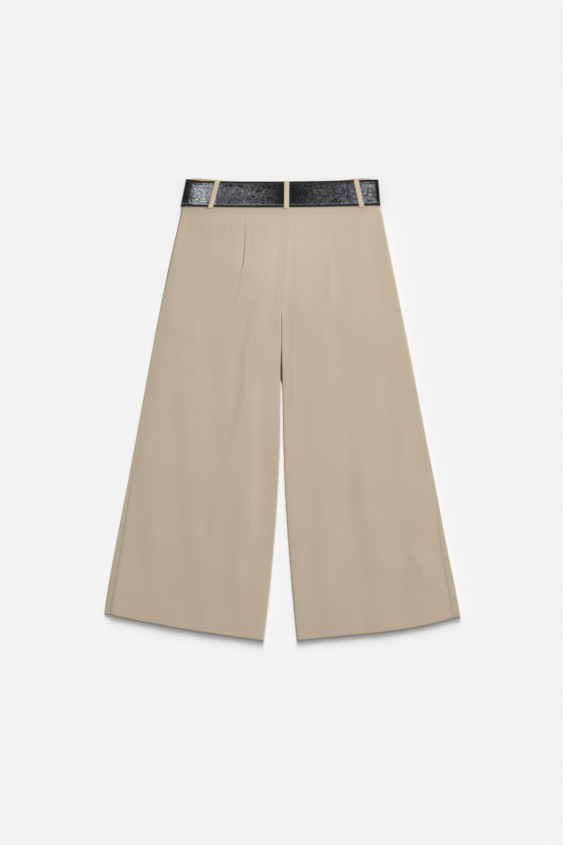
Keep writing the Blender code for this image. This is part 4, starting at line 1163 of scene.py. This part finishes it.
def patent_leather_inputs(add):
    pattern = add("ShaderNodeUVMap", uv_map="pattern")["UV"]
    noise = {}
    for name, size, detail, distortion in LEATHER_NOISES:
        inputs = {"Vector": pattern, "Scale": 1 / size, "Detail": detail, "Distortion": distortion}
        noise[name] = add(NOISE, inputs, noise_dimensions="2D")
    centred_inputs = {0: noise["bend"]["Color"], 1: (0.5, 0.5, 0.5)}
    centred = add("ShaderNodeVectorMath", centred_inputs, operation="SUBTRACT")[0]
    bend_inputs = {0: centred, 1: (4 * CRACK_BEND,) * 3, 2: pattern}
    bent = add("ShaderNodeVectorMath", bend_inputs, operation="MULTIPLY_ADD")[0]
    crack_inputs = {"Vector": bent, "Scale": 1 / CRACK_SPACING}
    crack_settings = {"voronoi_dimensions": "2D", "feature": "DISTANCE_TO_EDGE"}
    to_crack = add("ShaderNodeTexVoronoi", crack_inputs, **crack_settings)["Distance"]
    off_scratch = add(MATH, {0: noise["scratch"]["Fac"], 1: 0.5}, operation="SUBTRACT")[0]
    to_scratch = add(MATH, {0: off_scratch, 1: 0.0}, operation="ABSOLUTE")[0]
    # Lips fade out from 1 at a crack or scratch, and the cracks break where their noise is low
    faded = []
    for value, at_0, at_1 in (
        (to_crack, 0.24, 0.03),
        (to_scratch, 0.10, 0.01),
        (noise["break"]["Fac"], 0.40, 0.60),
    ):
        inputs = {"Value": value, "From Min": at_0, "From Max": at_1}
        faded.append(add(REMAP, inputs, interpolation_type="SMOOTHSTEP")["Result"])
    cracks, scratches, unbroken = faded
    along = add("ShaderNodeSeparateXYZ", {"Vector": pattern})["X"]
    along_inputs = {"Value": along, "From Min": 0.0, "From Max": float(station_lengths[-1])}
    along_share = add(REMAP, along_inputs)["Result"]
    # This ramp paints a sheen along the belt: the lips show most where the lacquer caught the lamps
    stops = [(strap_share_at(row.x), row.share) for row in CRACK_AND_SHEEN_SHARES]
    front_stops = [0.0, stops[0][0] - CRACK_SHARE_FADE, stops[-1][0] + CRACK_SHARE_FADE, 1.0]
    stops = sorted(stops + [(place, FRONT_CRACK_SHARE) for place in front_stops])
    greys = [(place, (share, share, share, 1.0)) for place, share in stops]
    shares = add(RAMP, {"Fac": along_share}, greys)["Color"]
    # The lips, with a faint painted haze between them, are painted pale as a glint, scaled by the ramp
    sums = {}
    for name, operation, a, b in (
        ("cracks", "MULTIPLY", cracks, unbroken),
        ("scratches", "MULTIPLY", scratches, 0.7),
        ("lips", "MAXIMUM", "cracks", "scratches"),
        ("dust", "MULTIPLY", "lips", 0.97),
        ("dusted", "ADD", "dust", 0.03),
        ("patchy", "ADD", noise["patch"]["Fac"], 0.5),
        ("worn", "MULTIPLY", "patchy", shares),
        ("shown", "MULTIPLY", "dusted", "worn"),
        ("raised", "MULTIPLY", "lips", 0.6),
        ("height", "ADD", "raised", noise["patch"]["Fac"]),
    ):
        inputs = {0: sums[a] if isinstance(a, str) else a, 1: sums[b] if isinstance(b, str) else b}
        sums[name] = add(MATH, inputs, operation=operation)[0]
    colours = [(0.0, linear(LACQUER)), (1.0, linear(CRACK_LIP_AND_GLINT))]
    return {
        "Base Color": add(RAMP, {"Fac": sums["shown"]}, colours)["Color"],
        "Roughness": add(REMAP, {"Value": sums["lips"], "To Min": 0.14, "To Max": 0.30})["Result"],
        "Normal": add(BUMP, {"Strength": 0.35, "Distance": 0.0005, "Height": sums["height"]})["Normal"],
        "IOR": 1.50,
    }


def mottled_inputs(add, low, high, size, roughness, bump_height):
    """A matt leather side: edge paint or lining."""
    place = add("ShaderNodeTexCoord")["Object"]
    grain = add(NOISE, {"Vector": place, "Scale": 1 / size, "Detail": 4.0})["Fac"]
    return {
        "Base Color": add(RAMP, {"Fac": grain}, [(0.3, linear(low)), (0.7, linear(high))])["Color"],
        "Normal": add(BUMP, {"Strength": 0.5, "Distance": bump_height, "Height": grain})["Normal"],
        "Roughness": roughness,
    }


patent_leather = new_material("black_crackled_patent_leather", patent_leather_inputs)
# Brown-black paint on the cut edge, worn a little lighter
edge_look = {"low": "#191817", "high": "#322f2c", "size": 0.0024, "roughness": 0.45, "bump_height": 0.0001}
edge_paint = new_material("painted_leather_edge", partial(mottled_inputs, **edge_look))
# Black split suede on the strap's inner side
suede_look = {"low": "#1d1b1a", "high": "#35312e", "size": 0.0012, "roughness": 0.95, "bump_height": 0.0003}
suede_lining = new_material("black_split_suede", partial(mottled_inputs, **suede_look))
# Bonded thread with a low gloss, pale grey along the lower edge. Along the upper edge the same
# thread has a darker copy, a painted shade
grey_look = {"low": "#7a7c84", "high": "#a8a9b2", "roughness": 0.45}
grey_thread = new_material("grey_bonded_thread", partial(thread_inputs, **grey_look))
shaded_grey_look = {"low": "#26272a", "high": "#3c3d41", "roughness": 0.6}
grey_thread_painted_shade = new_material("grey_bonded_thread_painted_shade", partial(thread_inputs, **shaded_grey_look))

# The strap's face by its distance from either edge: rounded and painted, creased with a hot iron,
# then sunk under the stitches
STRAP_FACE = table(
    "from_edge sunk part",
    (0.0008, 0.00034, EDGE),
    (0.0014, 0.00018, EDGE),
    (0.0022, 0.00006, EDGE),
    (0.0030, 0.00000, EDGE),
    (0.0038, 0.00010, EDGE),
    (0.0044, 0.00024, EDGE),
    (0.0048, 0.00024, FACE),
    (0.0054, 0.00006, FACE),
    (0.0058, 0.00014, FACE),
    (0.0063, 0.00030, FACE),
    (0.0068, 0.00014, FACE),
    (0.0076, 0.00002, FACE),
    (0.0100, 0.00000, FACE),
    unit=1,
)
STRAP_EDGE, STRAP_EDGE_FLATTENED, STRAP_EDGE_CUT, STRAP_FACE_STEPS = 0.0008, 0.6, 0.3, 6


def strap_section():
    """(across, depth, part) round the strap's section."""
    half, edge = STRAP_WIDTH / 2, STRAP_EDGE
    row = [(spot.from_edge - half, spot.sunk, spot.part) for spot in STRAP_FACE]
    middle = half - STRAP_FACE[-1].from_edge
    row += [(place, 0.0, FACE) for place in spread(-middle, middle, STRAP_FACE_STEPS)[:-1]]
    row += [(half - spot.from_edge, spot.sunk, spot.part) for spot in reversed(STRAP_FACE)]
    rounded = []
    for angle in CORNER_ANGLES[1:]:
        depth = STRAP_FACE[0].sunk + edge * (1 - math.cos(angle)) * STRAP_EDGE_FLATTENED
        rounded.append((half - edge * (1 - math.sin(angle)), depth))
    cut = edge * STRAP_EDGE_CUT
    rounded += [(half, STRAP_WALL - edge), (half - cut, STRAP_WALL - cut)]
    row += [(across, depth, EDGE) for across, depth in rounded]
    row += [(place, STRAP_WALL, LINING) for place in np.linspace(half - edge, -half + edge, LINING_COLUMNS)]
    return row + [(-across, depth, EDGE) for across, depth in reversed(rounded)]


def buckle_y(x):
    """The height of the belt's centre line on the front."""
    return strap_y(x) - float(front_drop(x))


# Oval holes punched in the tip: how far along it, and how long each is
HOLE_WIDTH, HOLE_STEPS = 0.0044, 20
STRAP_HOLES = table("x length", (3.5, 13), (27.5, 6), (51.5, 6))


def hole_cutter(hole):
    """An oval punch, upright at the hole."""
    bm = bmesh.new()
    lower, upper = [], []
    for i in range(HOLE_STEPS):
        angle = 2 * math.pi * i / HOLE_STEPS
        off = math.copysign((hole.length - HOLE_WIDTH) / 2, math.cos(angle))
        x = hole.x + off + HOLE_WIDTH / 2 * math.cos(angle)
        y = buckle_y(hole.x) + HOLE_WIDTH / 2 * math.sin(angle)
        lower.append(bm.verts.new((x, y, UNDER_STRAP_FACE - STRAP_WALL)))
        upper.append(bm.verts.new((x, y, UNDER_STRAP_FACE + 2 * STRAP_WALL)))
    bm.faces.new(lower[::-1])
    bm.faces.new(upper)
    for i in range(HOLE_STEPS):
        k = (i + 1) % HOLE_STEPS
        bm.faces.new((lower[i], lower[k], upper[k], upper[i]))
    for face in bm.faces:
        face.material_index = EDGE
    return solid_piece("punch", bm)


strap_materials = [patent_leather, edge_paint, suede_lining]
belt_strap = strip_piece("belt_strap_leather", all_stations, strap_section(), strap_place, strap_materials)
for hole in STRAP_HOLES:
    punch = hole_cutter(hole)
    punching = belt_strap.modifiers.new("punch", "BOOLEAN")
    punching.operation, punching.solver, punching.object = "DIFFERENCE", "EXACT", punch
    punched = plain_mesh(belt_strap)
    belt_strap.modifiers.clear()
    belt_strap.data = punched
    bpy.data.objects.remove(punch, do_unlink=True)

# The strap's skived end lies doubled round the buckle's bar, slit in the middle for the prong
PRONG_WIDTH = 0.0034
EYE_WALL, EYE_EDGE, EYE_FACE_STEPS = 0.0009, 0.0003, 4
EYE_INSET, EYE_SLOT_HALF = 0.0010, PRONG_WIDTH / 2 + 0.0008
EYE_LOW_X, EYE_HIGH_X, EYE_LAP_X = BAR_X - 0.0032, BAR_X + 0.0062, BAR_X + 0.0050
EYE_LOW_Z, EYE_HIGH_Z = BAR_Z - 0.0020, BAR_Z + 0.0020
EYE_CORNER, EYE_CORNER_STEPS = 0.0014, 5
eye_width = STRAP_WIDTH / 2 - EYE_INSET - EYE_SLOT_HALF
eye_centre = EYE_SLOT_HALF + eye_width / 2


def eye_stations():
    """The skived end of the strap, from its lap on the inner side round the bar."""
    stations = [(EYE_HIGH_X, EYE_HIGH_Z, 0.0, 1.0), (BAR_X, EYE_HIGH_Z, 0.0, 1.0)]
    for centre_z, start in ((EYE_HIGH_Z - EYE_CORNER, math.pi / 2), (EYE_LOW_Z + EYE_CORNER, math.pi)):
        for angle in np.linspace(start, start + math.pi / 2, EYE_CORNER_STEPS + 1):
            c, s = math.cos(angle), math.sin(angle)
            stations.append((EYE_LOW_X + EYE_CORNER + EYE_CORNER * c, centre_z + EYE_CORNER * s, c, s))
    return stations + [(BAR_X, EYE_LOW_Z, 0.0, -1.0), (EYE_LAP_X, EYE_LOW_Z, 0.0, -1.0)]


def eye_place(off, station, across, depth):
    x, z, out_x, out_z = station
    return (x - out_x * depth, buckle_y(BAR_X) + off + across, z - out_z * depth)


eye_strip = strip_section(eye_width, EYE_WALL, EYE_EDGE, EYE_FACE_STEPS)
strap_eyes = [
    strip_piece("strap_eye_" + name, eye_stations(), eye_strip, partial(eye_place, off), strap_materials)
    for name, off in (("lower", -eye_centre), ("upper", eye_centre))
]

STRAP_STITCH_INSET, STRAP_STITCH_SUNK = 0.0063, 0.00021
STRAP_SPACING, STRAP_STITCH = 0.0044, 0.0038
STITCHED_STATIONS = slice(2, -16)
belt_seams = []
# The upper row's darker thread is a painted shade of the same grey thread
for name, side, thread, finish in (
    ("belt_stitches", -1, 0.0009, grey_thread),
    ("belt_stitches_upper", 1, 0.0008, grey_thread_painted_shade),
):
    across = side * (STRAP_WIDTH / 2 - STRAP_STITCH_INSET)
    row = [strap_place(station, across, STRAP_STITCH_SUNK) for station in all_stations[STITCHED_STATIONS]]
    belt_seams.append(sew(name, [row], STRAP_SPACING, STRAP_STITCH, thread, finish))
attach(belt_strap, "root")
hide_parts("belt_strap")
for piece in strap_eyes:
    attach(piece, "root")

# ---------------------------------------------------------------------------------------------
# Buckle and keeper, under the front. A cast frame of nickel-plated zinc with a flat prong hooked
# round its bar, and a keeper of the same leather, its ends butted and sewn, that holds the tip.
# ---------------------------------------------------------------------------------------------
FAR_BAR_X, FAR_BAR_Z = -0.0225, 0.0031
BAR_WIDTH, FAR_BAR_WIDTH, BAR_GAP = 0.0040, 0.0070, 0.0003
FRAME_THICK, FRAME_SECTION_STEPS, FRAME_SQUARED = 0.0016, 16, 0.45
FRAME_CORNER, WINDOW_CORNER, FRAME_CORNER_STEPS = 0.006, 0.001, 8
FRAME_SIDE_WIDTH, FRAME_SIDE_GAP = 0.0036, 0.0006

# Brushed nickel plate: pale warm metal, with fine scratches along the frame
BRUSH_SPACING, BRUSH_LENGTH = 0.0005, 0.012
NICKEL_DARK, NICKEL_LIGHT = "#a9a69f", "#cbc8c1"


def nickel_inputs(add):
    place = add("ShaderNodeTexCoord")["Object"]
    stretch = (1 / BRUSH_SPACING, 1 / BRUSH_LENGTH, 1 / BRUSH_SPACING)
    stretched = add("ShaderNodeMapping", {"Vector": place, "Scale": stretch})["Vector"]
    brushed = add(NOISE, {"Vector": stretched, "Scale": 1.0, "Detail": 3.0})["Fac"]
    colours = [(0.3, linear(NICKEL_DARK)), (0.7, linear(NICKEL_LIGHT))]
    return {
        "Base Color": add(RAMP, {"Fac": brushed}, colours)["Color"],
        "Roughness": add(REMAP, {"Value": brushed, "To Min": 0.22, "To Max": 0.42})["Result"],
        "Normal": add(BUMP, {"Strength": 0.25, "Distance": 0.00005, "Height": brushed})["Normal"],
        "Metallic": 1.0,
    }


nickel = new_material("brushed_nickel_plate", nickel_inputs)


def rounded_outline(length, width, radius, steps):
    """(x, y, outward x, outward y) round a rectangle with rounded corners."""
    outline = []
    for corner, (sign_x, sign_y) in enumerate(((1, 1), (-1, 1), (-1, -1), (1, -1))):
        for share in np.linspace(0.0, 1.0, steps + 1):
            angle = math.pi / 2 * (corner + share)
            c, s = math.cos(angle), math.sin(angle)
            x, y = sign_x * (length / 2 - radius) + radius * c, sign_y * (width / 2 - radius) + radius * s
            outline.append((x, y, c, s))
    return outline


def halved(outline):
    """The (x, y) of an outline with its sides halved, so that the section rides evenly on them."""
    sides = zip(outline, outline[1:] + outline[:1])
    return [(mix(a[0], b[0], share), mix(a[1], b[1], share)) for a, b in sides for share in (0.0, 0.5)]


def make_buckle_frame():
    left, right = FAR_BAR_X - FAR_BAR_WIDTH / 2, BAR_X + BAR_WIDTH / 2
    window_left, window_right = FAR_BAR_X + FAR_BAR_WIDTH / 2, BAR_X - BAR_WIDTH / 2
    window_width = STRAP_WIDTH + 2 * FRAME_SIDE_GAP
    width = window_width + 2 * FRAME_SIDE_WIDTH
    middle_x = (left + right) / 2
    middle_z = mix(FAR_BAR_Z, BAR_Z, (middle_x - FAR_BAR_X) / (BAR_X - FAR_BAR_X))
    shift = (window_left + window_right) / 2 - middle_x
    tilt = math.atan2(BAR_Z - FAR_BAR_Z, BAR_X - FAR_BAR_X)
    window_length = window_right - window_left
    outer = halved(rounded_outline(right - left, width, FRAME_CORNER, FRAME_CORNER_STEPS))
    window = halved(rounded_outline(window_length, window_width, WINDOW_CORNER, FRAME_CORNER_STEPS))

    def place_of(station, across, up):
        (outer_x, outer_y), (window_x, window_y) = station
        x, y = mix(outer_x, window_x + shift, across), mix(outer_y, window_y, across)
        tilted_x = x * math.cos(tilt) - up * math.sin(tilt)
        tilted_z = x * math.sin(tilt) + up * math.cos(tilt)
        return (middle_x + tilted_x, buckle_y(BAR_X) + y, middle_z + tilted_z)

    # The section is a circle squared by its power
    strip = []
    for angle in np.linspace(0.0, 2 * math.pi, FRAME_SECTION_STEPS, endpoint=False):
        parts = (math.cos(angle), math.sin(angle))
        c, s = (math.copysign(abs(part) ** FRAME_SQUARED, part) for part in parts)
        strip.append((0.5 - 0.5 * c, FRAME_THICK / 2 * s, FACE))
    stations = list(zip(outer, window))
    return strip_piece("buckle_frame_nickel", stations, strip, place_of, [nickel], closed=True)


PRONG_THICK, PRONG_EDGE, PRONG_FACE_STEPS = 0.0010, 0.0003, 4
PRONG_CORNER, PRONG_CORNER_STEPS, PRONG_HOOK_LAP, PRONG_HOOK_OPEN = 0.0006, 3, 0.0012, 0.6
PRONG_POINT_SHARE = 0.75
PRONG_RUN = table(
    "x z",
    (15.0, 6.2),
    (9.5, 5.2),
    (6.0, 3.8),
    (0.5, 1.5),
    (-3.0, 0.8),
    (-22.5, 0.5),
    (-28.0, 0.5),
)


def prong_stations():
    """(x, z, outward x, outward z, narrowing) of its face towards the bar, from hook to point."""
    hook_x, hook_z = BAR_WIDTH / 2 + BAR_GAP, FRAME_THICK / 2 + BAR_GAP
    path = [(BAR_X - hook_x + PRONG_HOOK_LAP, BAR_Z - hook_z)]
    for sign_x, sign_z, start, turn in ((1, -1, -1, 1.0), (1, 1, 0, 1.0), (-1, 1, 1, PRONG_HOOK_OPEN)):
        for angle in math.pi / 2 * np.linspace(start, start + turn, PRONG_CORNER_STEPS + 1):
            x = BAR_X + sign_x * (hook_x - PRONG_CORNER) + PRONG_CORNER * math.cos(angle)
            path.append((x, BAR_Z + sign_z * (hook_z - PRONG_CORNER) + PRONG_CORNER * math.sin(angle)))
    path += [tuple(point) for point in PRONG_RUN]
    stations = [(*station, 1.0) for station in with_outward(path, -1)]
    return stations[:-1] + [(*stations[-1][:-1], PRONG_POINT_SHARE)]


def prong_place(station, across, depth):
    x, z, out_x, out_z, narrowing = station
    return (x - out_x * depth, buckle_y(BAR_X) + across * narrowing, z - out_z * depth)


KEEPER_X, KEEPER_WIDTH, KEEPER_WALL, KEEPER_ROOM = 0.050, 0.012, 0.0010, 0.0008
KEEPER_EDGE, KEEPER_CORNER, KEEPER_CORNER_STEPS, KEEPER_FACE_STEPS = 0.0003, 0.0014, 6, 6
KEEPER_CREASE_INSET, KEEPER_CREASE = 0.0020, 0.0001
KEEPER_LOW, KEEPER_HIGH = 0.0001, OVER_STRAP_FACE + STRAP_WALL + 0.0003 + KEEPER_WALL


def keeper_place(station, across, depth):
    y, z, out_y, out_z = station
    z += (KEEPER_HIGH + KEEPER_LOW) / 2
    return (KEEPER_X + across, buckle_y(KEEPER_X) + y - out_y * depth, z - out_z * depth)


buckle_frame = make_buckle_frame()
prong_strip = strip_section(PRONG_WIDTH, PRONG_THICK, PRONG_EDGE, PRONG_FACE_STEPS)
buckle_prong = strip_piece("buckle_prong_nickel", prong_stations(), prong_strip, prong_place, [nickel])
keeper_reach = STRAP_WIDTH + 2 * (KEEPER_ROOM + KEEPER_WALL)
keeper_outline = rounded_outline(keeper_reach, KEEPER_HIGH - KEEPER_LOW, KEEPER_CORNER, KEEPER_CORNER_STEPS)
keeper_strip = strip_section(
    KEEPER_WIDTH, KEEPER_WALL, KEEPER_EDGE, KEEPER_FACE_STEPS, KEEPER_CREASE_INSET, KEEPER_CREASE
)
belt_keeper = strip_piece(
    "belt_keeper_leather", keeper_outline, keeper_strip, keeper_place, strap_materials, closed=True
)
for piece, node, slot in (
    (buckle_frame, "buckle_frame", "buckle_metal"),
    (buckle_prong, "buckle_prong", "buckle_metal"),
    (belt_keeper, "belt_keeper", "patent_leather"),
):
    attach(piece, "root")
    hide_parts(node)

# ---------------------------------------------------------------------------------------------
# Floor, light and camera. A large pale sheet, lit softly from the waist side. The cloth is lit
# from the right and from above, and the belt from the hem side, so that its lacquer shines. The
# strip of allowance in the slit gets the room's faint light alone.
# ---------------------------------------------------------------------------------------------
FLOOR_HALF, FLOOR_LEVEL = 30.0, -0.0004
WORLD_LIGHT, FLOOR_TONE = 0.040, 0.871

floor_mesh = bpy.data.meshes.new("floor")
quarters = ((-1, -1), (1, -1), (1, 1), (-1, 1))
floor_corners = [(x * FLOOR_HALF, y * FLOOR_HALF, FLOOR_LEVEL) for x, y in quarters]
floor_mesh.from_pydata(floor_corners, [], [(0, 1, 2, 3)])
floor = add_object("floor", floor_mesh)
paper_look = {"Base Color": (0.8, 0.8, 0.8, 1.0), "Roughness": 1.0, "Specular IOR Level": 0.0}
floor_mesh.materials.append(new_material("pale_paper", lambda add: paper_look))

world = bpy.data.worlds.new("studio")
bpy.context.scene.world = world
world.use_nodes = True
sky_ray = add_node(world.node_tree, "ShaderNodeLightPath")["Is Camera Ray"]
sky_range = {"Value": sky_ray, "To Min": WORLD_LIGHT, "To Max": FLOOR_TONE}
sky_look = {"Color": (1.0, 1.0, 1.0, 1.0), "Strength": add_node(world.node_tree, REMAP, sky_range)["Result"]}
set_inputs(world.node_tree, world.node_tree.nodes["Background"], sky_look)
bpy.context.scene.view_settings.view_transform = "Standard"

lit = {name: bpy.data.collections.new("lit_" + name) for name in ("floor", "cloth", "belt", "loops")}
lit["floor"].objects.link(floor)
belt_pieces = [belt_strap, *belt_seams, *strap_eyes, belt_keeper, buckle_frame, buckle_prong]
for thing in bpy.context.scene.collection.objects:
    if thing.type == "MESH" and thing not in (floor, crotch_allowance):
        lit["belt" if thing in belt_pieces else "cloth"].objects.link(thing)
        if thing.name.startswith("belt_loop"):
            lit["loops"].objects.link(thing)

# Distant lights. An azimuth turns from +Y towards +X
SUNS = table(
    "name energy azimuth elevation angle lights",
    ("floor_light", 4.60, 2.0, 21.5, 24.0, "floor"),
    ("floor_high_light", 1.20, 2.0, 45.0, 40.0, "floor"),
    ("floor_top_light", 0.10, 180.0, 80.0, 20.0, "floor"),
    ("floor_sky", 0.74, 0.0, 90.0, 165.0, "floor"),
    ("cloth_light", 1.94, 85.0, 40.0, 45.0, "cloth"),
    ("low_cloth_light", 1.45, 25.0, 10.0, 14.0, "cloth"),
    ("cloth_sky", 0.56, 0.0, 90.0, 165.0, "cloth"),
    ("loop_light", 0.45, 180.0, 60.0, 20.0, "loops"),
    ("belt_light", 7.0, 180.0, 23.0, 8.0, "belt"),
    unit=1,
)
# Lamps at a place, turned to the strap's middle
LAMPS = table(
    "name kind energy x y z size lights",
    ("key_light", "POINT", 24.2, 0.30, 0.40, 1.30, 0.20, "cloth"),
    ("seat_light", "POINT", 0.125, 0.03, 0.32, 0.14, 0.05, "cloth"),
    ("left_sheen", "AREA", 1.2, -0.42, 0.75, 3.0, 0.30, "belt"),
    ("right_sheen", "AREA", 0.45, 0.42, 0.75, 3.0, 0.30, "belt"),
    unit=1,
)


def add_light(row, kind, place, towards, **settings):
    """A light for one collection. It lies towards a direction, as seen from what it lights."""
    data = bpy.data.lights.new(row.name, kind)
    for setting, value in {"energy": row.energy, **settings}.items():
        setattr(data, setting, value)
    light = add_object(row.name, data)
    light.location = place
    light.rotation_euler = towards.to_track_quat("Z", "Y").to_euler()
    light.light_linking.receiver_collection = lit[row.lights]


for sun in SUNS:
    azimuth, elevation = math.radians(sun.azimuth), math.radians(sun.elevation)
    level = math.cos(elevation)
    towards = Vector((math.sin(azimuth) * level, math.cos(azimuth) * level, math.sin(elevation)))
    add_light(sun, "SUN", (0, 0, 0), towards, angle=math.radians(sun.angle))
for lamp in LAMPS:
    place = Vector((lamp.x, lamp.y, lamp.z))
    size = {"size" if lamp.kind == "AREA" else "shadow_soft_size": lamp.size}
    add_light(lamp, lamp.kind, place, place - Vector((0.0, STRAP_CENTRE_Y, 0.0)), **size)

CAMERA_Y, CAMERA_HEIGHT = -0.0242, 3.796
camera_data = bpy.data.cameras.new("camera")
camera_data.lens = 85.0
camera_data.sensor_width = 36.0
camera = add_object("camera", camera_data)
camera.location = (0.0, CAMERA_Y, CAMERA_HEIGHT)
bpy.context.scene.camera = camera
